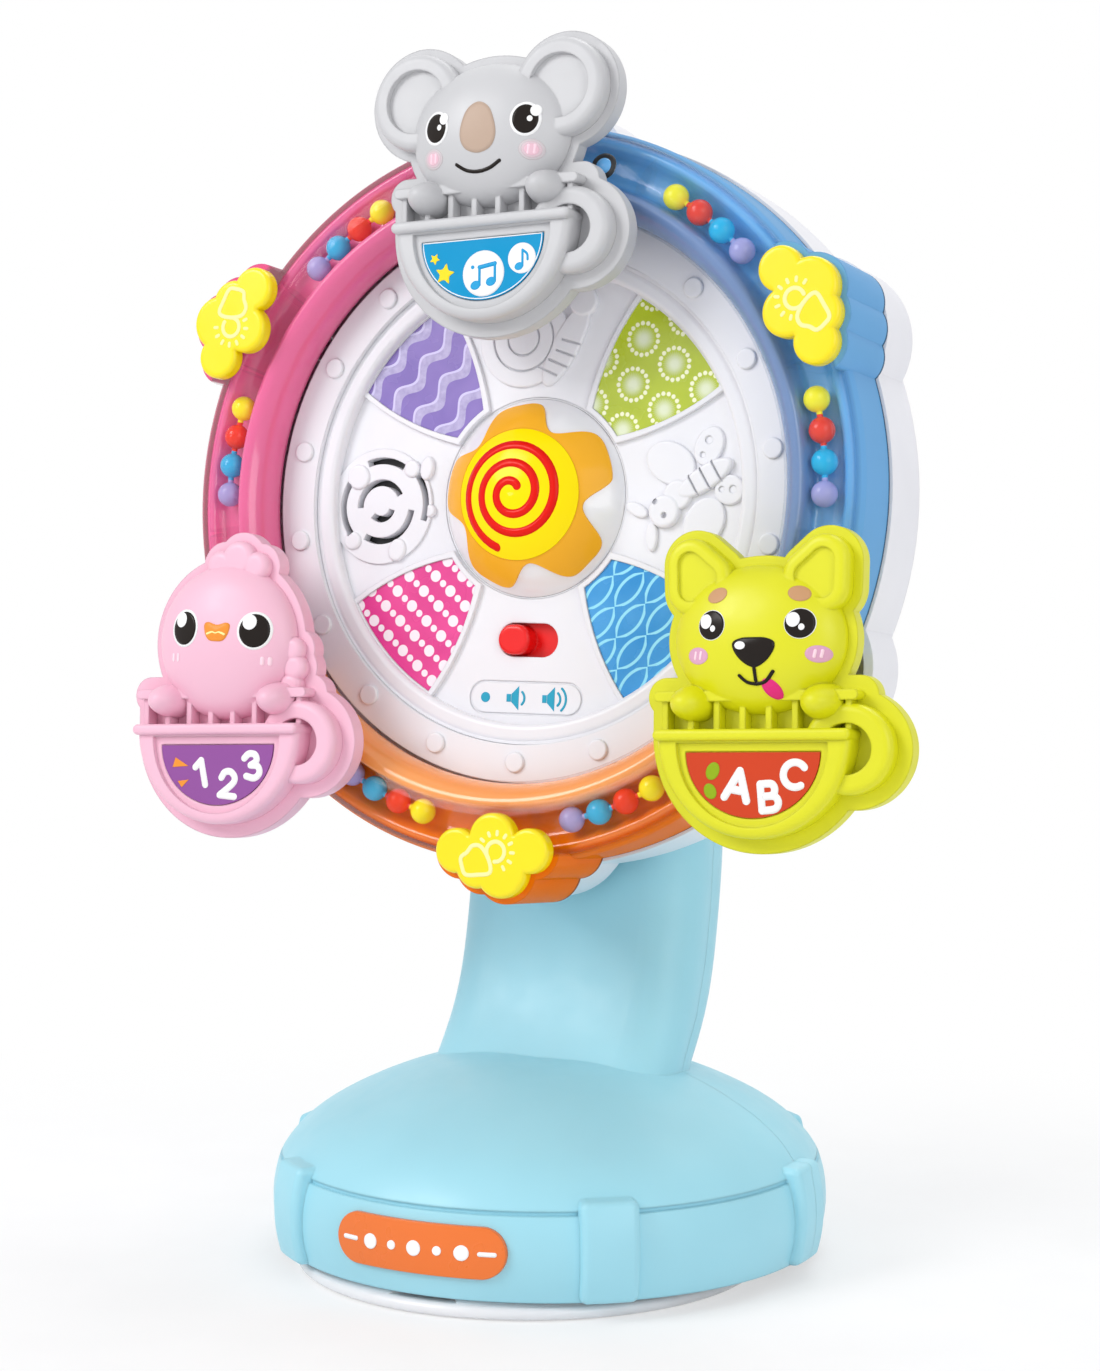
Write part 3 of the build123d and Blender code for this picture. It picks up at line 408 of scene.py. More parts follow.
def waves(name):
    """Broad pale bands with a bright edge that wave across the film."""
    graph = Graph(name)
    slope, wave_length, wave_height, wave_start = 50.0, 8.8, 1.15, 2.4
    pitch, first_band, band_share, half_edge, soft = 6.4, 45.8, 0.40, 0.045, 0.012
    c, s = polar(1.0, slope)
    u, v = graph.along(U), graph.along(V)
    run = graph.add(graph.mul(u, c), graph.mul(v, s))
    across = graph.sub(graph.mul(v, c), graph.mul(u, s))
    phase = graph.mul(graph.sub(run, wave_start), 2.0 * math.pi / wave_length)
    swing = graph.mul(graph.math("SINE", phase), wave_height)
    share = graph.math("DIVIDE", graph.sub(first_band, graph.sub(across, swing)), pitch)
    share = graph.math("FRACT", share)
    pale = graph.cloudy(900.0, colour(168, 158, 204), colour(194, 186, 224), detail=4.0)
    deep = graph.cloudy(120.0, colour(126, 104, 184), colour(140, 118, 194))
    paint = graph.mix(graph.below(share, band_share, soft), deep, pale)
    edge = graph.math("ABSOLUTE", graph.sub(share, half_edge))
    paint = graph.mix(graph.below(edge, half_edge, soft), paint, colour(214, 206, 246))
    return film_finish(graph, paint)


def lattice(graph, origin, a, b):
    """A point's place in a slanted grid, counted in the grid's two steps."""
    du, dv = graph.along(U, origin[0]), graph.along(V, origin[1])
    det = a[0] * b[1] - b[0] * a[1]
    p = graph.sub(graph.mul(du, b[1] / det), graph.mul(dv, b[0] / det))
    q = graph.sub(graph.mul(dv, a[0] / det), graph.mul(du, a[1] / det))
    return p, q


def offset(graph, p, q, a, b):
    """A point's distance across and up from the nearest point of the grid."""
    dp = graph.sub(p, graph.math("ROUND", p))
    dq = graph.sub(q, graph.math("ROUND", q))
    x = graph.add(graph.mul(dp, a[0]), graph.mul(dq, b[0]))
    y = graph.add(graph.mul(dp, a[1]), graph.mul(dq, b[1]))
    return x, y


def seed_heads(name):
    """Fluffy pale centres, each ringed with dots."""
    graph = Graph(name)
    a, b, origin = (7.1, -5.2), (-1.85, -9.2), (23.1, 32.2)
    dots, dot_ring, dot_radius, dot_soft = 17.0, 3.25, 0.46, 0.06
    fluff_radius, fluff_soft, fluff_share, ray_length = 1.9, 0.9, 0.92, 0.5
    x, y = offset(graph, *lattice(graph, origin, a, b), a, b)
    radius = graph.hypot(x, y)
    turn = graph.math("ARCTAN2", y, x)
    dot_turn = 2.0 * math.pi / dots
    part = graph.sub(graph.math("FRACT", graph.mul(turn, 1.0 / dot_turn)), 0.5)
    side = graph.mul(graph.mul(part, dot_turn), radius)
    dot = graph.below(graph.hypot(side, graph.sub(radius, dot_ring)), dot_radius, dot_soft)
    rays = graph.add(graph.mul(graph.math("SINE", graph.mul(turn, 2.0 * dots)), 0.5), 0.5)
    fluff = graph.below(graph.add(radius, graph.mul(rays, ray_length)), fluff_radius, fluff_soft)
    ground = graph.cloudy(110.0, colour(178, 196, 28), colour(190, 208, 44))
    paint = graph.mix(graph.mul(fluff, fluff_share), ground, colour(234, 242, 214))
    paint = graph.mix(dot, paint, colour(250, 252, 214))
    return film_finish(graph, paint)


def dot_rows(name):
    """Slanting rows of large and small dots in turn."""
    graph = Graph(name)
    a, b, origin = (3.63, -3.07), (-2.66, -3.16), (-31.06, -19.62)
    large_radius, small_radius, soft = 1.2, 0.74, 0.06
    p, q = lattice(graph, origin, a, b)
    large = graph.below(graph.hypot(*offset(graph, p, q, a, b)), large_radius, soft)
    half_on = graph.add(p, 0.5)
    small = graph.below(graph.hypot(*offset(graph, half_on, q, a, b)), small_radius, soft)
    ground = graph.cloudy(110.0, colour(218, 48, 138), colour(234, 66, 150))
    paint = graph.mix(graph.math("MAXIMUM", large, small), ground, colour(252, 240, 248))
    return film_finish(graph, paint)


def leaf_net(name):
    """A net of pale lines that bow into leaf shapes."""
    graph = Graph(name)
    a, b, origin = (6.75, 0.75), (-0.58, 6.33), (19.39, -22.08)
    half_line, soft = 0.047, 0.012
    p, q = (graph.math("FRACT", count) for count in lattice(graph, origin, a, b))
    bows = graph.hypot(graph.sub(1.0, p), q), graph.hypot(p, graph.sub(1.0, q))
    lines = [graph.below(graph.math("ABSOLUTE", graph.sub(bow, 1.0)), half_line, soft) for bow in bows]
    ground = graph.cloudy(95.0, colour(20, 142, 214), colour(64, 160, 226))
    paint = graph.mix(graph.math("MAXIMUM", *lines), ground, colour(150, 230, 254))
    return film_finish(graph, paint)


def beads(name, centre, towards):
    """Four colours along a row, one for each bead, told apart by their place along it."""
    graph = Graph(name)
    cu, cv = polar(1.0, centre)
    run = graph.sub(graph.mul(graph.along(V), cu), graph.mul(graph.along(U), cv))
    pitch = BEAD_RING * math.sin(math.radians(BEAD_PITCH))
    step = graph.math("DIVIDE", graph.mul(run, towards), pitch)
    paint = colour(255, 244, 0)
    for edge, rgb in ((-1.0, (242, 52, 0)), (0.0, (20, 184, 232)), (1.0, (168, 166, 220))):
        paint = graph.mix(graph.math("GREATER_THAN", step, edge), paint, colour(*rgb))
    graph.shader.inputs["Specular IOR Level"].default_value = 0.3
    return graph.finish(paint, rough=0.16, grain=0.02)


def ring_bed(name, inner, outer):
    """The coloured bed under a clear ring, in one tone inside and another below the beads."""
    graph = Graph(name)
    inside = graph.below(graph.radius(), BED_TONE_EDGE, soft=0.5)
    paint = graph.mix(inside, colour(*outer), colour(*inner))
    return graph.finish(paint, rough=0.18, grain=0.03, coat=0.4)


def wrap(name):
    """The printed wrap of a cell, dark with a brass-coloured band on top."""
    graph = Graph(name)
    z = graph.mul(graph.dot((0.0, 0.0, 1.0)), 1.0 / MM)
    band = graph.math("GREATER_THAN", z, CELL_BAND_Z)
    paint = graph.mix(band, colour(58, 66, 76), colour(196, 150, 70))
    return graph.finish(paint, rough=0.3, grain=0.03)


sky = plastic("sky_blue_plastic", (160, 219, 234), rough=0.42, grain=0.05, bevel=0.0007)
white = plastic("white_plastic", (236, 236, 241), rough=0.34, grain=0.04)
gloss_white = plastic("gloss_white_plastic", (240, 240, 243), rough=0.14, grain=0.02, coat=0.4)
steel = metal("screw_steel", (186, 188, 192))
dark = plastic("dark_plastic", (34, 35, 38), rough=0.5, grain=0.1)
grey = plastic("koala_grey_plastic", (198, 198, 200), rough=0.42, grain=0.05, bevel=0.0006)
pink = plastic("bird_pink_plastic", (240, 188, 208), rough=0.42, grain=0.05, bevel=0.0006)
lime = plastic("dog_lime_plastic", (222, 221, 16), rough=0.42, grain=0.05, bevel=0.0006)
ring_paint = {"pink": (240, 96, 156), "blue": (116, 180, 232), "orange": (250, 122, 4)}
bed_paint = {
    "pink": ((238, 104, 158), (246, 112, 168)),
    "blue": ((110, 138, 184), (104, 178, 236)),
    "orange": ((250, 164, 84), (246, 126, 2)),
}
beds = {name: ring_bed("ring_" + name + "_bed", *paint) for name, paint in bed_paint.items()}
studs = {
    name: plastic("ring_" + name + "_stud", outer, rough=0.14, grain=0.02, bevel=0.0)
    for name, (inner, outer) in bed_paint.items()
}

looks = {
    "stand_front_shell": sky, "stand_rear_shell": sky, "battery_door": sky,
    "base_plate": white, "hub_housing": white, "hub_face": white, "wheel_tub": white, "wheel_band": white,
    "battery_tray": white, "cup_clamp": white, "button_dome": gloss_white,
    "suction_cup": rubber_clear("clear_rubber"),
    "label_plate": plastic("label_orange", (238, 118, 42), rough=0.3, grain=0.03),
    "circuit_board": plastic("board_green", (34, 104, 62), rough=0.4, grain=0.2),
    "speaker": dark, "push_switch": dark, "switch_body": dark,
    "lamp": tinted("lamp_clear", (246, 240, 226), clear=0.5),
    "panel_purple": waves("panel_waves"), "panel_green": seed_heads("panel_seed_heads"),
    "panel_magenta": dot_rows("panel_dot_rows"), "panel_blue": leaf_net("panel_leaf_net"),
    "button_splash": ink("button_orange", (246, 178, 44), rough=0.16),
    "button_disc": ink("button_yellow", (254, 228, 0), rough=0.16),
    "switch_knob": plastic("switch_red", (236, 4, 4), rough=0.3, grain=0.03),
    "koala_rear_shell": grey, "koala_front_shell": grey,
    "bird_rear_shell": pink, "bird_front_shell": pink,
    "dog_rear_shell": lime, "dog_front_shell": lime,
    "koala_sticker": ink("sticker_blue", (4, 148, 200), rough=0.5),
    "bird_sticker": ink("sticker_purple", (146, 84, 156), rough=0.5),
    "dog_sticker": ink("sticker_red", (206, 68, 36), rough=0.5),
}
for name, rgb in ring_paint.items():
    looks["ring_" + name] = tinted("ring_" + name + "_clear", rgb, clear=0.985, thick_from=RING_THICK_FROM)
    looks["cloud_" + name] = plastic("cloud_yellow_" + name, (248, 226, 2), rough=0.24, grain=0.03)
for name, towards in {"pink": 1.0, "blue": -1.0, "orange": -1.0}.items():
    for side, shift in (("_a", -BEAD_ROW_ANGLE), ("_b", BEAD_ROW_ANGLE)):
        row = "beads_" + name + side
        looks[row] = beads(row + "_mix", RING_ANGLES[name] + shift, towards)
for side in ("left", "middle", "right"):
    looks["battery_cell_" + side] = wrap("cell_wrap_" + side)
for name, node in nodes.items():
    node.data.materials.clear()
    node.data.materials.append(looks.get(name, steel))


# Drawing on the surfaces


class Skin:
    """A thin painted or raised layer of one material that lies on a body's surface."""

    def __init__(self, name, body, material, slot):
        self.name, self.body, self.material, self.slot = name, body, material, slot
        self.verts = []
        self.faces = []

    def ring_faces(self, start, count, rings, closed):
        span = count if closed else count - 1
        for ring in range(rings - 1):
            a, b = start + ring * count, start + (ring + 1) * count
            for i in range(span):
                j = (i + 1) % count
                self.faces.append((a + i, a + j, b + j, b + i))

    def sheet(self, rows, closed):
        """A sheet through rows of points on the wheel, each row open or closed on itself."""
        start = len(self.verts)
        for row in rows:
            self.verts += [wheel_spot(*point) for point in row]
        self.ring_faces(start, len(rows[0]), len(rows), closed)

    def patch(self, spot, height, outline, lift, crown):
        """A filled outline, all of which can be seen from its middle."""
        cx = sum(p[0] for p in outline) / len(outline)
        cy = sum(p[1] for p in outline) / len(outline)
        start, count, rings = len(self.verts), len(outline), 6
        levels = [(1.0, -PATCH_SKIRT)]
        for k in range(rings):
            share = 1.0 - k / rings
            levels.append((share, lift + crown * (1.0 - share ** 2)))
        for share, rise in levels:
            for x, y in outline:
                x, y = cx + (x - cx) * share, cy + (y - cy) * share
                self.verts.append(spot(x, y, height(x, y) + rise))
        self.ring_faces(start, count, len(levels), True)
        self.verts.append(spot(cx, cy, height(cx, cy) + lift + crown))
        last = start + (len(levels) - 1) * count
        for i in range(count):
            self.faces.append((last + i, last + (i + 1) % count, len(self.verts) - 1))

    def stroke(self, spot, height, points, width, lift, closed):
        """A line of even width, with round ends where it is open."""
        places = stations(points, width / 2.0, closed)
        shoulder = lift * 0.7
        section = ((-1.0, -LINE_SKIRT), (-1.0, shoulder), (0.0, lift), (1.0, shoulder), (1.0, -LINE_SKIRT))
        start, count, total = len(self.verts), len(section), len(places)
        for x, y, dx, dy, half in places:
            for side, rise in section:
                px, py = x - dy * half * side, y + dx * half * side
                self.verts.append(spot(px, py, height(px, py) + rise))
        for i in range(total if closed else total - 1):
            a, b = start + i * count, start + ((i + 1) % total) * count
            for k in range(count - 1):
                self.faces.append((a + k, b + k, b + k + 1, a + k + 1))

    def done(self):
        mesh = bpy.data.meshes.new(self.name)
        mesh.from_pydata([tuple(v) for v in self.verts], [], self.faces)
        mesh.update()
        for face in mesh.polygons:
            face.use_smooth = True
        mesh.materials.append(self.material)
        made = bpy.data.objects.new(self.name, mesh)
        bpy.context.scene.collection.objects.link(made)
        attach(made, self.body)


def stations(points, half, closed):
    """Each point of a line with its direction and half width there, which rounds off open ends."""
    made = []
    count = len(points)
    for i, (x, y) in enumerate(points):
        ax, ay = points[(i - 1) % count] if closed or i else points[0]
        bx, by = points[(i + 1) % count] if closed or i < count - 1 else points[-1]
        length = math.hypot(bx - ax, by - ay) or 1.0
        made.append((x, y, (bx - ax) / length, (by - ay) / length, half))
    if closed:
        return made
    steps, tip_share = 4, 0.02
    turns = [math.pi / 2.0 * k / steps for k in range(1, steps + 1)]
    ends = [(math.sin(turn) * half, max(tip_share, math.cos(turn)) * half) for turn in turns]
    x, y, dx, dy, _ = made[0]
    first = [(x - dx * out, y - dy * out, dx, dy, thin) for out, thin in reversed(ends)]
    x, y, dx, dy, _ = made[-1]
    last = [(x + dx * out, y + dy * out, dx, dy, thin) for out, thin in ends]
    return first + made + last


skins = {}


def skin(body, material, slot):
    """The layer of one material on one body, made when it is first drawn on."""
    key = body + "_" + material.name
    if key not in skins:
        skins[key] = Skin(key, body, material, slot)
    return skins[key]


class Pen:
    """Draws on one surface of a body, which has its own frame and height."""

    def __init__(self, body, slot, spot, height):
        self.body, self.slot, self.spot, self.height = body, slot, spot, height

    def patch(self, material, outline, lift, crown=0.0):
        layer = skin(self.body, material, self.slot)
        layer.patch(self.spot, self.height, outline, lift, crown)

    def stroke(self, material, points, width, lift=0.09, closed=False):
        layer = skin(self.body, material, self.slot)
        layer.stroke(self.spot, self.height, points, width, lift, closed)


def oval(x, y, half, tall, turn=0.0):
    count = 36
    points = []
    for i in range(count):
        a = 2.0 * math.pi * i / count
        px, py = turned(half * math.cos(a), tall * math.sin(a), turn)
        points.append((x + px, y + py))
    return points


def disc(x, y, radius):
    return oval(x, y, radius, radius)


def between(p, t):
    """A point on the smooth way from the second of four points to the third."""
    return tuple(
        0.5 * (2.0 * b + (c - a) * t
               + (2.0 * a - 5.0 * b + 4.0 * c - d) * t * t
               + (3.0 * b - a - 3.0 * c + d) * t ** 3)
        for a, b, c, d in zip(*p)
    )


def curve(points, closed=False, steps=8):
    """A smooth run through the given points."""
    count = len(points)
    made = []
    for i in range(count if closed else count - 1):
        near = [i + k if closed else max(0, min(count - 1, i + k)) for k in (-1, 0, 1, 2)]
        made += [between([points[k % count] for k in near], step / steps) for step in range(steps)]
    return made if closed else made + [tuple(points[-1])]


def mirrored(points):
    """A closed outline from its right half, given from the top down."""
    return curve(points + [(-x, y) for x, y in reversed(points[1:-1])], closed=True)


def straight_sided(corners):
    """A closed outline with straight sides."""
    steps = 5
    run = []
    for i, (ax, ay) in enumerate(corners):
        bx, by = corners[(i + 1) % len(corners)]
        run += [(ax + (bx - ax) * t / steps, ay + (by - ay) * t / steps) for t in range(steps)]
    return run


def arc(x, y, radius, start, end, count=16):
    turns = [start + (end - start) * i / count for i in range(count + 1)]
    return [(x + radius * c, y + radius * s) for c, s in (polar(1.0, turn) for turn in turns)]


def half_moon(x, y, half, deep):
    """The lower half of an oval, closed by its straight top."""
    bow, top = 30, 14
    turns = [math.pi + math.pi * i / bow for i in range(bow + 1)]
    points = [(x + half * math.cos(a), y + deep * math.sin(a)) for a in turns]
    return points + [(x + half - 2.0 * half * i / top, y) for i in range(1, top)]


def star(x, y, radius, turn):
    inner_share = 0.52
    points = []
    for i in range(10):
        px, py = polar(radius if i % 2 == 0 else radius * inner_share, turn + 36.0 * i)
        points.append((x + px, y + py))
    return curve(points, closed=True, steps=3)


black_ink = ink("black_ink", (34, 28, 25), rough=0.18)
white_ink = ink("white_ink", (250, 250, 250))
tan_ink = ink("tan_ink", (192, 168, 150), rough=0.4)
blush_inks = [
    ink("blush_ink_" + str(k), rgb)
    for k, rgb in enumerate(((211, 202, 205), (224, 200, 208), (238, 196, 210)))
]
lilac_ink = ink("lilac_ink", (222, 168, 196))
pale_ink = ink("pale_ink", (255, 220, 232))
beak_ink = ink("beak_ink", (240, 150, 60), rough=0.26)
tongue_ink = ink("tongue_ink", (228, 48, 128), rough=0.26)
brow_ink = ink("brow_ink", (204, 156, 116))
star_ink = ink("star_ink", (255, 222, 30))
leaf_ink = ink("leaf_ink", (146, 176, 30))
note_ink = ink("note_ink", (36, 160, 216))
pale_yellow = ink("pale_yellow_ink", (255, 250, 168))
sign_ink = ink("sign_ink", (52, 164, 196))
red_ink = ink("spiral_red", (230, 22, 12), rough=0.2)
seam_ink = ink("seam_white", (244, 244, 248), rough=0.4)
seam_orange = ink("seam_orange", (246, 178, 44), rough=0.4)


def eyes(pen, x, y, half, tall, edge, glints):
    """A white edge, a dark oval and the highlights of each eye, given as shares of it."""
    for side in (-1.0, 1.0):
        pen.patch(white_ink, oval(side * x, y, half + edge, tall + edge), lift=0.06)
        pen.patch(black_ink, oval(side * x, y, half, tall), lift=0.12)
        for across, up, size in glints:
            glint = oval(side * x + across * half, y + up * tall, size * half, size * half * 1.12)
            pen.patch(white_ink, glint, lift=0.17)


def cheeks(pen, x, y, half, tall, materials):
    """Soft cheeks, paler towards their edge, with two short strokes."""
    lean, low_share, high_share = 0.15, 0.3, 0.4
    for side in (-1.0, 1.0):
        for k, material in enumerate(materials):
            part = 1.0 - 0.22 * k
            pen.patch(material, oval(side * x, y, half * part, tall * part), lift=0.05 + 0.03 * k)
        for step in (-0.6, 0.6):
            middle = side * x + step
            mark = [(middle - lean, y - tall * low_share), (middle + lean, y + tall * high_share)]
            pen.stroke(pale_ink, mark, width=0.55, lift=0.16)


def koala_face():
    pen = Pen("koala", "koala_grey", *face_frame("koala"))
    eyes(pen, x=9.9, y=3.5, half=2.5, tall=2.9, edge=0.55, glints=((0.80, 0.56, 0.42), (0.36, 0.0, 0.21)))
    nose = mirrored([(0.0, 7.7), (2.3, 6.5), (3.6, 3.6), (3.9, 0.7), (2.7, -1.6), (0.0, -2.5)])
    pen.patch(tan_ink, nose, lift=0.1, crown=0.12)
    smile = curve([(-5.2, -4.3), (-3.0, -5.6), (-0.4, -6.0), (2.2, -5.5), (4.4, -4.3)])
    pen.stroke(black_ink, smile, width=0.68)
    cheeks(pen, x=10.9, y=-2.5, half=2.5, tall=2.0, materials=blush_inks)


def bird_face():
    pen = Pen("bird", "bird_pink", *face_frame("bird"))
    eyes(pen, x=8.2, y=4.7, half=3.05, tall=3.45, edge=0.5, glints=((-0.34, 0.50, 0.46),))
    beak = mirrored([(0.0, 5.6), (2.1, 6.1), (3.0, 5.5), (2.6, 3.6), (1.6, 2.4), (0.0, 2.2)])
    pen.patch(beak_ink, beak, lift=0.1, crown=0.3)
    gap = curve([(-2.0, 3.7), (-0.8, 4.1), (0.0, 3.9), (0.8, 4.1), (2.0, 3.7)])
    pen.stroke(pale_yellow, gap, width=0.45, lift=0.46)
    cheek_x, low, high, lean = 10.6, -1.9, -0.9, 0.1
    for side in (-1.0, 1.0):
        for step in (-0.7, 0.7):
            foot = side * cheek_x + step
            pen.stroke(pale_ink, [(foot, low), (foot + lean, high)], width=0.8)


def dog_face():
    pen = Pen("dog", "dog_lime", *face_frame("dog"))
    eyes(pen, x=8.75, y=4.9, half=2.75, tall=2.75, edge=0.14,
         glints=((-0.45, 0.26, 0.45), (0.12, -0.24, 0.2)))
    nose = mirrored([(0.0, 2.4), (2.4, 2.3), (4.1, 1.5), (3.9, -0.1), (2.3, -2.1), (0.0, -3.2)])
    pen.patch(black_ink, nose, lift=0.12, crown=0.35)
    pen.patch(white_ink, oval(-2.5, 0.9, 1.05, 0.75), lift=0.52)
    pen.patch(tongue_ink, oval(3.0, -7.2, 2.3, 1.5, -48.0), lift=0.1, crown=0.12)
    lip = [(0.0, -3.0), (0.05, -4.4), (0.1, -5.7)]
    left = [(0.1, -6.3), (-1.7, -5.9), (-3.1, -4.7)]
    right = [(0.1, -6.3), (2.0, -5.8), (3.6, -4.0)]
    for points in (lip, left, right):
        pen.stroke(black_ink, curve(points), width=0.62, lift=0.3)
    for side in (-1.0, 1.0):
        pen.patch(brow_ink, oval(side * 8.1, 10.6, 2.1, 1.45, -side * 16.0), lift=0.1)
    cheeks(pen, x=11.9, y=-0.8, half=2.3, tall=1.6, materials=[lilac_ink])


def sticker_pen(kind, slot):
    return Pen(kind, slot, figure_spot(kind), flat(STICKER_FRONT))


def note(pen, x, y, size, beamed):
    """A plain music note, or two under a beam, drawn in shares of its size."""
    def at(across, up):
        return x + across * size, y + up * size

    line, lift = 0.13 * size, 0.16
    pair = ((-0.42, -0.42, 0.42), (0.36, -0.30, 0.54))
    single = ((-0.16, -0.42, 0.42),)
    for head, low, high in pair if beamed else single:
        pen.patch(note_ink, oval(*at(head, low), 0.25 * size, 0.2 * size, 18.0), lift)
        pen.stroke(note_ink, [at(head + 0.2, low), at(head + 0.2, high)], line, lift)
    if beamed:
        pen.stroke(note_ink, [at(-0.22, 0.38), at(0.56, 0.5)], 0.2 * size, lift)
    else:
        pen.stroke(note_ink, curve([at(0.04, 0.42), at(0.3, 0.2), at(0.34, -0.1)]), line, lift)


def koala_sticker():
    pen = sticker_pen("koala", "sticker_blue")
    pen.stroke(white_ink, half_moon(0.0, -19.1, 13.25, 11.95), width=0.2, lift=0.05, closed=True)
    pen.patch(white_ink, disc(0.4, -26.1, 4.6), lift=0.08)
    pen.patch(white_ink, disc(8.9, -23.7, 3.05), lift=0.08)
    note(pen, x=0.5, y=-26.5, size=4.4, beamed=True)
    note(pen, x=8.9, y=-23.7, size=3.8, beamed=False)
    pen.patch(note_ink, disc(-2.0, -24.7, 0.38), lift=0.16)
    pen.patch(star_ink, star(-8.3, -25.6, 2.15, 80.0), lift=0.08)
    pen.patch(star_ink, star(-10.6, -22.4, 1.15, 60.0), lift=0.08)


# The strokes of plain rounded teaching signs, each one unit high
GLYPHS = {
    "1": [[(-0.24, 0.26), (0.04, 0.44)], [(0.04, 0.44), (0.04, -0.44)]],
    "2": [
        curve([(-0.28, 0.2), (-0.16, 0.4), (0.08, 0.44), (0.27, 0.26), (0.2, 0.02), (-0.28, -0.42)]),
        [(-0.28, -0.42), (0.32, -0.42)],
    ],
    "3": [
        curve([(-0.26, 0.32), (-0.04, 0.44), (0.2, 0.36), (0.22, 0.14), (-0.04, 0.03)]),
        curve([(-0.04, 0.03), (0.24, -0.06), (0.27, -0.3), (0.04, -0.44), (-0.28, -0.32)]),
    ],
    "A": [
        [(-0.36, -0.42), (0.0, 0.42)],
        [(0.0, 0.42), (0.36, -0.42)],
        [(-0.22, -0.16), (0.22, -0.16)],
    ],
    "B": [
        [(-0.28, -0.42), (-0.28, 0.42)],
        curve([(-0.28, 0.42), (0.1, 0.4), (0.2, 0.22), (0.1, 0.04), (-0.28, 0.02)]),
        curve([(-0.28, 0.02), (0.16, 0.0), (0.29, -0.2), (0.16, -0.4), (-0.28, -0.42)]),
    ],
    "C": [arc(0.0, 0.0, 0.4, 48.0, 312.0, count=26)],
}


def signs(pen, rows):
    """Plain teaching signs, each a letter or number with its place, size and turn."""
    line_share = 0.25
    for sign, x, y, size, turn in rows:
        for line in GLYPHS[sign]:
            placed = [turned(a, b, turn) for a, b in line]
            placed = [(x + size * a, y + size * b) for a, b in placed]
            pen.stroke(white_ink, placed, width=size * line_share, lift=0.1)


def bird_sticker():
    pen = sticker_pen("bird", "sticker_purple")
    signs(pen, (
        ("1", -3.5, -24.7, 5.8, 12.0),
        ("2", 2.7, -27.0, 5.8, -6.0),
        ("3", 8.5, -23.3, 5.8, 10.0),
    ))
    upper = ((-10.1, -21.5), (-6.9, -23.3), (-10.8, -23.5))
    lower = ((-9.5, -26.4), (-6.8, -26.1), (-8.5, -27.7))
    for corners in (upper, lower):
        pen.patch(beak_ink, straight_sided(corners), lift=0.08)


def dog_sticker():
    pen = sticker_pen("dog", "sticker_red")
    signs(pen, (
        ("A", -2.9, -25.1, 6.3, -10.0),
        ("B", 3.5, -27.3, 5.9, 5.0),
        ("C", 8.6, -23.2, 5.8, -12.0),
    ))
    for leaf in (oval(-8.0, -22.5, 1.3, 1.75, -25.0), oval(-8.5, -26.3, 1.2, 1.55, 30.0)):
        pen.patch(leaf_ink, leaf, lift=0.08)


def cloud_drawing(name):
    """A small sun behind a small cloud, in pale lines."""
    pen = Pen("wheel", "cloud_yellow", cloud_spot(name), flat(CLOUD_TOP))
    cloud = [(-6.3, -2.4), (-6.5, -0.6), (-5.2, 0.4), (-4.0, 1.7), (-2.3, 1.7), (-0.9, 0.2),
             (0.1, -2.2), (-0.2, -3.7), (-2.6, -4.0), (-5.4, -4.0)]
    pen.stroke(pale_yellow, curve(cloud, closed=True), width=0.85, lift=0.08, closed=True)
    sun_x, sun_y, sun_radius = 1.2, 0.6, 2.0
    pen.stroke(pale_yellow, arc(sun_x, sun_y, sun_radius, 215.0, -95.0, count=22), width=0.85, lift=0.08)
    rays, first_ray, ray_step, ray_reach = 8, 142.0, 29.0, (3.4, 4.0)
    for k in range(rays):
        ends = [polar(reach, first_ray - k * ray_step) for reach in ray_reach]
        pen.stroke(pale_yellow, [(sun_x + x, sun_y + y) for x, y in ends], width=0.7, lift=0.08)


def spiral():
    """The red line on the button's disc winds out from the middle."""
    pen = Pen("button", "button_yellow", wheel_spot, cap_height(DISC_THICK))
    steps, first_turn, sweep, first_radius, growth = 119, 45.0, 925.0, 1.9, 9.7
    shares = [i / steps for i in range(steps + 1)]
    points = [polar(first_radius + growth * share, first_turn + sweep * share) for share in shares]
    pen.stroke(red_ink, points, width=1.75, lift=0.06)


def sound_signs():
    """A dot, a speaker with one wave and a speaker with two waves below the slide switch."""
    pen = Pen("stand", "white", lambda x, y, d: wheel_spot(x, SIGN_ROW + y, d), flat(FACE))
    pen.patch(sign_ink, disc(-9.3, 0.0, 1.05), lift=0.05)
    for x, count in ((-2.6, 1), (5.6, 2)):
        box = [(x - 1.8, 0.8), (x - 0.8, 0.8), (x - 0.8, -0.8), (x - 1.8, -0.8)]
        horn = [(x - 0.7, 0.8), (x + 1.0, 2.5), (x + 1.0, -2.5), (x - 0.7, -0.8)]
        for corners in (box, horn):
            pen.patch(sign_ink, straight_sided(corners), lift=0.05)
        for k in range(count):
            pen.stroke(sign_ink, arc(x + 0.6, 0.0, 1.7 + 1.3 * k, -48.0, 48.0), width=0.5, lift=0.06)


def label_marks():
    """The label carries no words: a dash at each end and a row of dots between."""
    def spot(x, y, d):
        z = LABEL_Z + y
        radius = base_reach(z) + LABEL_RISE + d
        return Vector((x, BASE_Y - math.sqrt(radius ** 2 - x * x), z)) * MM

    pen = Pen("stand", "label_orange", spot, flat(0.0))
    dash_from, dash_to, dot_pitch, large, small = 16.4, 13.6, 5.0, 1.5, 0.9
    for side in (-1.0, 1.0):
        pen.stroke(white_ink, [(side * dash_from, 0.0), (side * dash_to, 0.0)], width=0.9, lift=0.16)
    for k, radius in enumerate((large, small, large, small, large)):
        pen.patch(white_ink, disc((k - 2) * dot_pitch, 0.0, radius), lift=0.16)


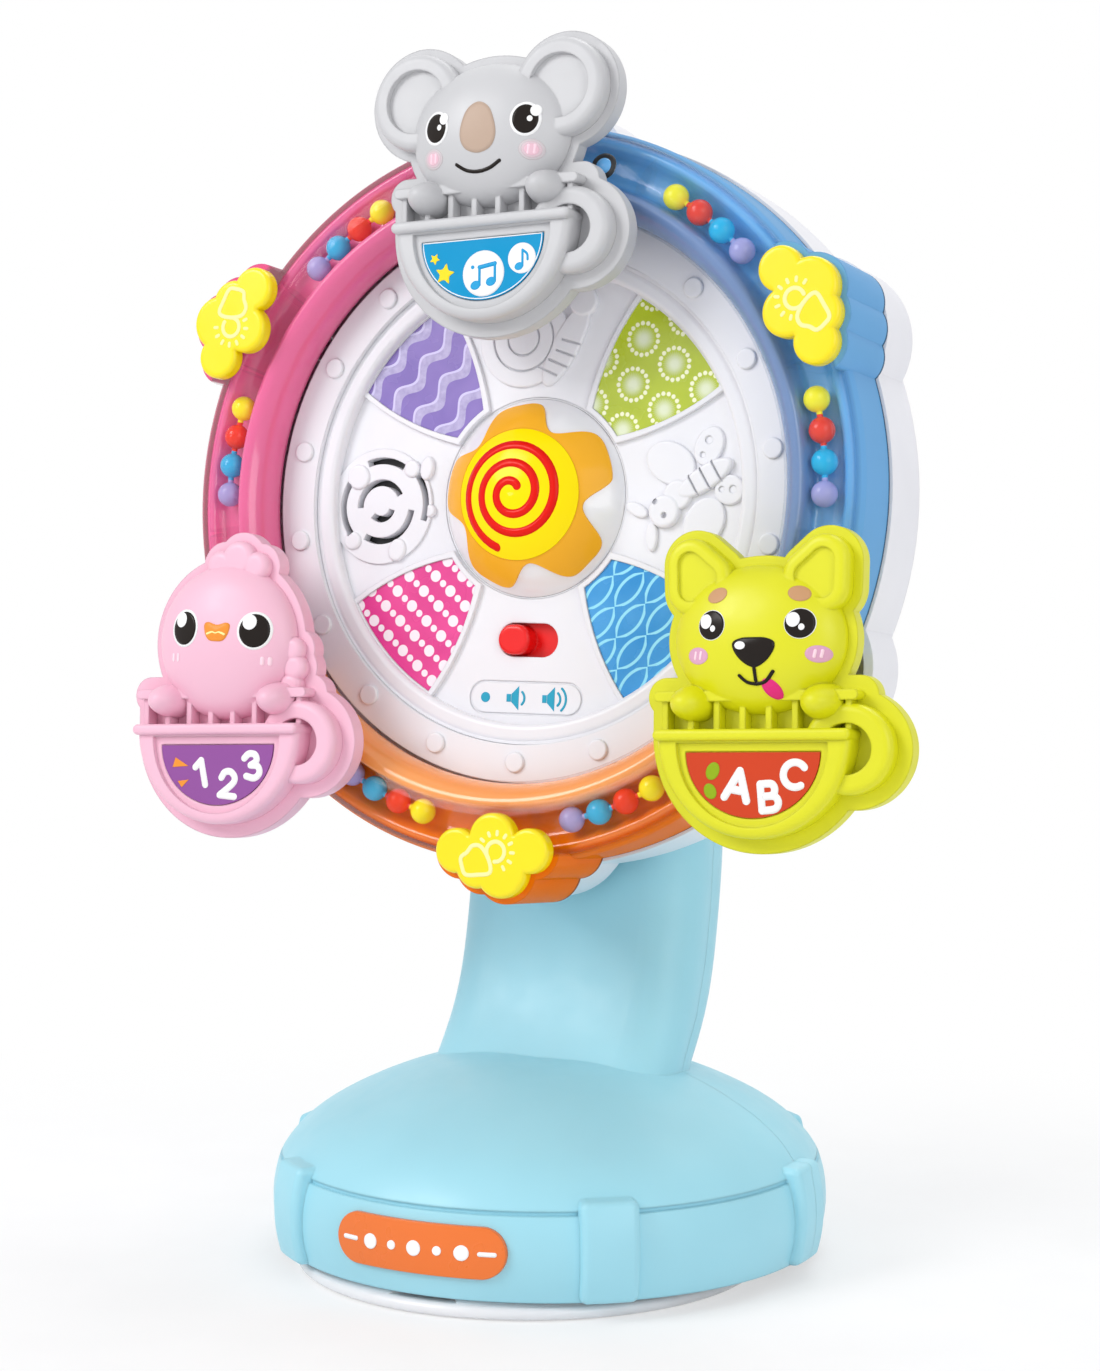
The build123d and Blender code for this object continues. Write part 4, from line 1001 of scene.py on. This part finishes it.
def ring_floor(name):
    """The coloured bed that shows through a ring segment's clear cover, under the beads."""
    steps = 90
    turns = [RING_ANGLES[name] + BED_HALF_SPAN * (2.0 * i / steps - 1.0) for i in range(steps + 1)]
    rows = [[(*polar(radius, turn), depth) for radius, depth in BED_SECTION] for turn in turns]
    skin("wheel", beds[name], "ring_" + name).sheet(rows, closed=False)


def ring_studs(name):
    """Painted shade: two dark socket discs, each with a coloured stud, near the ends of a ring segment."""
    socket = Pen("wheel", "dark_plastic", wheel_spot, ring_height)
    stud = Pen("wheel", "ring_" + name, wheel_spot, ring_height)
    for side in (-1.0, 1.0):
        u, v = polar(BEAD_RING, RING_ANGLES[name] + side * STUD_ANGLE)
        # The dark disc is painted shade, standing for the shadowed recess of each socket.
        socket.patch(dark, disc(u, v, 2.6), lift=0.05)
        stud.patch(studs[name], disc(u, v, 1.6), lift=0.1, crown=0.5)


def seam(body, material, slot, *edges):
    """A narrow strip in the gap between two round pieces, from one radius and depth to another."""
    steps = 180
    turns = [360.0 * i / steps for i in range(steps)]
    rows = [[(*polar(radius, turn), depth) for turn in turns] for radius, depth in edges]
    skin(body, material, slot).sheet(rows, closed=True)


def seams():
    """The gaps about the hub's rim, the button and the button's disc look pale, not black."""
    clear, lap, sunk = 0.08, 0.4, 0.12
    rim_inside, rim_outside = FACE + 2.25, FACE + 2.1
    outer = FACE_RADIUS + RUNNING_GAP - clear
    seam("stand", seam_ink, "white", (FACE_RADIUS - lap, rim_inside), (outer, rim_outside))
    inner, outer = BUTTON_RADIUS + clear, BUTTON_RADIUS + RUNNING_GAP - clear
    seam("stand", seam_ink, "white", (inner, FACE - sunk), (outer, FACE - sunk))
    disc_clear, disc_floor = 0.01, cap_height(0.42)
    inner, outer = DISC_RADIUS + disc_clear, DISC_RADIUS + DISC_GAP - disc_clear
    edges = (inner, disc_floor(inner, 0.0)), (outer, disc_floor(outer, 0.0))
    seam("button", seam_orange, "button_orange", *edges)


koala_face()
bird_face()
dog_face()
koala_sticker()
bird_sticker()
dog_sticker()
for name in RING_ANGLES:
    cloud_drawing(name)
    ring_floor(name)
    ring_studs(name)
spiral()
sound_signs()
label_marks()
seams()
for layer in skins.values():
    layer.done()


# Floor, light and camera, in metres


def make_floor():
    """White paper that keeps a soft shadow near the toy."""
    half, drop, near, far, near_share = 3.0, 0.0002, 0.06, 0.26, 0.55
    corners = [(-half, -half, 0.0), (half, -half, 0.0), (half, half, 0.0), (-half, half, 0.0)]
    mesh = bpy.data.meshes.new("floor")
    mesh.from_pydata(corners, [], [(0, 1, 2, 3)])
    floor = bpy.data.objects.new("floor", mesh)
    bpy.context.scene.collection.objects.link(floor)
    floor.location.z = -drop
    graph = Graph("floor_paper")
    graph.finish(colour(247, 247, 248), rough=0.9, grain=0.02)
    glow = graph.node("ShaderNodeEmission")
    glow.inputs["Color"].default_value = WHITE
    rays = graph.node("ShaderNodeLightPath").outputs
    seen = graph.math("MAXIMUM", rays["Is Camera Ray"], rays["Is Glossy Ray"])
    seen = graph.math("MAXIMUM", seen, rays["Is Transmission Ray"])
    reach = graph.hypot(graph.dot((1.0, 0.0, 0.0)), graph.dot((0.0, 1.0, 0.0)))
    fade = graph.ramp(reach, (near, far), (near_share, 1.0), interpolation_type="SMOOTHSTEP")
    paper = graph.blend(graph.mul(seen, fade), graph.shader.outputs[0], glow.outputs[0])
    graph.feed(graph.output.inputs["Surface"], paper)
    mesh.materials.append(graph.material)


def make_world():
    """Soft light from all sides, and plain white where it is seen or mirrored."""
    world = bpy.data.worlds.new("studio")
    bpy.context.scene.world = world
    world.use_nodes = True
    tree = world.node_tree
    tree.nodes.clear()
    rays = tree.nodes.new("ShaderNodeLightPath").outputs
    seen = rays["Is Camera Ray"]
    for other in ("Is Transmission Ray", "Is Glossy Ray"):
        either = tree.nodes.new("ShaderNodeMath")
        either.operation = "MAXIMUM"
        tree.links.new(seen, either.inputs[0])
        tree.links.new(rays[other], either.inputs[1])
        seen = either.outputs[0]
    mixed = tree.nodes.new("ShaderNodeMixShader")
    tree.links.new(seen, mixed.inputs[0])
    for socket, tint, strength in ((1, SOFT_TINT, SOFT_STRENGTH), (2, WHITE, 1.0)):
        light = tree.nodes.new("ShaderNodeBackground")
        light.inputs["Color"].default_value = tint
        light.inputs["Strength"].default_value = strength
        tree.links.new(light.outputs[0], mixed.inputs[socket])
    out = tree.nodes.new("ShaderNodeOutputWorld")
    tree.links.new(mixed.outputs[0], out.inputs["Surface"])


def set_up(made, place, aim):
    """Puts a lamp or a camera at a place, turned to a point."""
    made.location = place
    made.rotation_mode = "QUATERNION"
    made.rotation_quaternion = (Vector(aim) - Vector(place)).to_track_quat("-Z", "Y")
    bpy.context.scene.collection.objects.link(made)


def make_lamp(name, place, aim, size, watts):
    lamp = bpy.data.lights.new(name, "AREA")
    lamp.shape = "RECTANGLE"
    lamp.size, lamp.size_y = size
    lamp.energy = watts
    set_up(bpy.data.objects.new(name, lamp), place, aim)


def make_camera():
    lens = bpy.data.cameras.new("camera")
    lens.sensor_fit = "AUTO"
    lens.sensor_width = SENSOR
    lens.lens = FOCAL_PIXELS * SENSOR / PHOTO_HEIGHT
    lens.clip_start, lens.clip_end = 0.01, 20.0
    made = bpy.data.objects.new("camera", lens)
    set_up(made, CAMERA_PLACE, CAMERA_AIM)
    bpy.context.scene.camera = made


make_floor()
make_world()
make_lamp("key", place=(-0.55, -0.75, 0.75), aim=(0.0, 0.0, 0.13), size=(0.5, 0.5), watts=6.0)
make_lamp("fill", place=(0.85, -0.55, 0.45), aim=(0.0, 0.0, 0.12), size=(0.5, 0.7), watts=2.5)
make_lamp("top", place=(0.1, 0.35, 1.0), aim=(0.0, 0.0, 0.1), size=(0.6, 0.4), watts=2.8)
make_camera()
bpy.context.scene.view_settings.view_transform = "Standard"
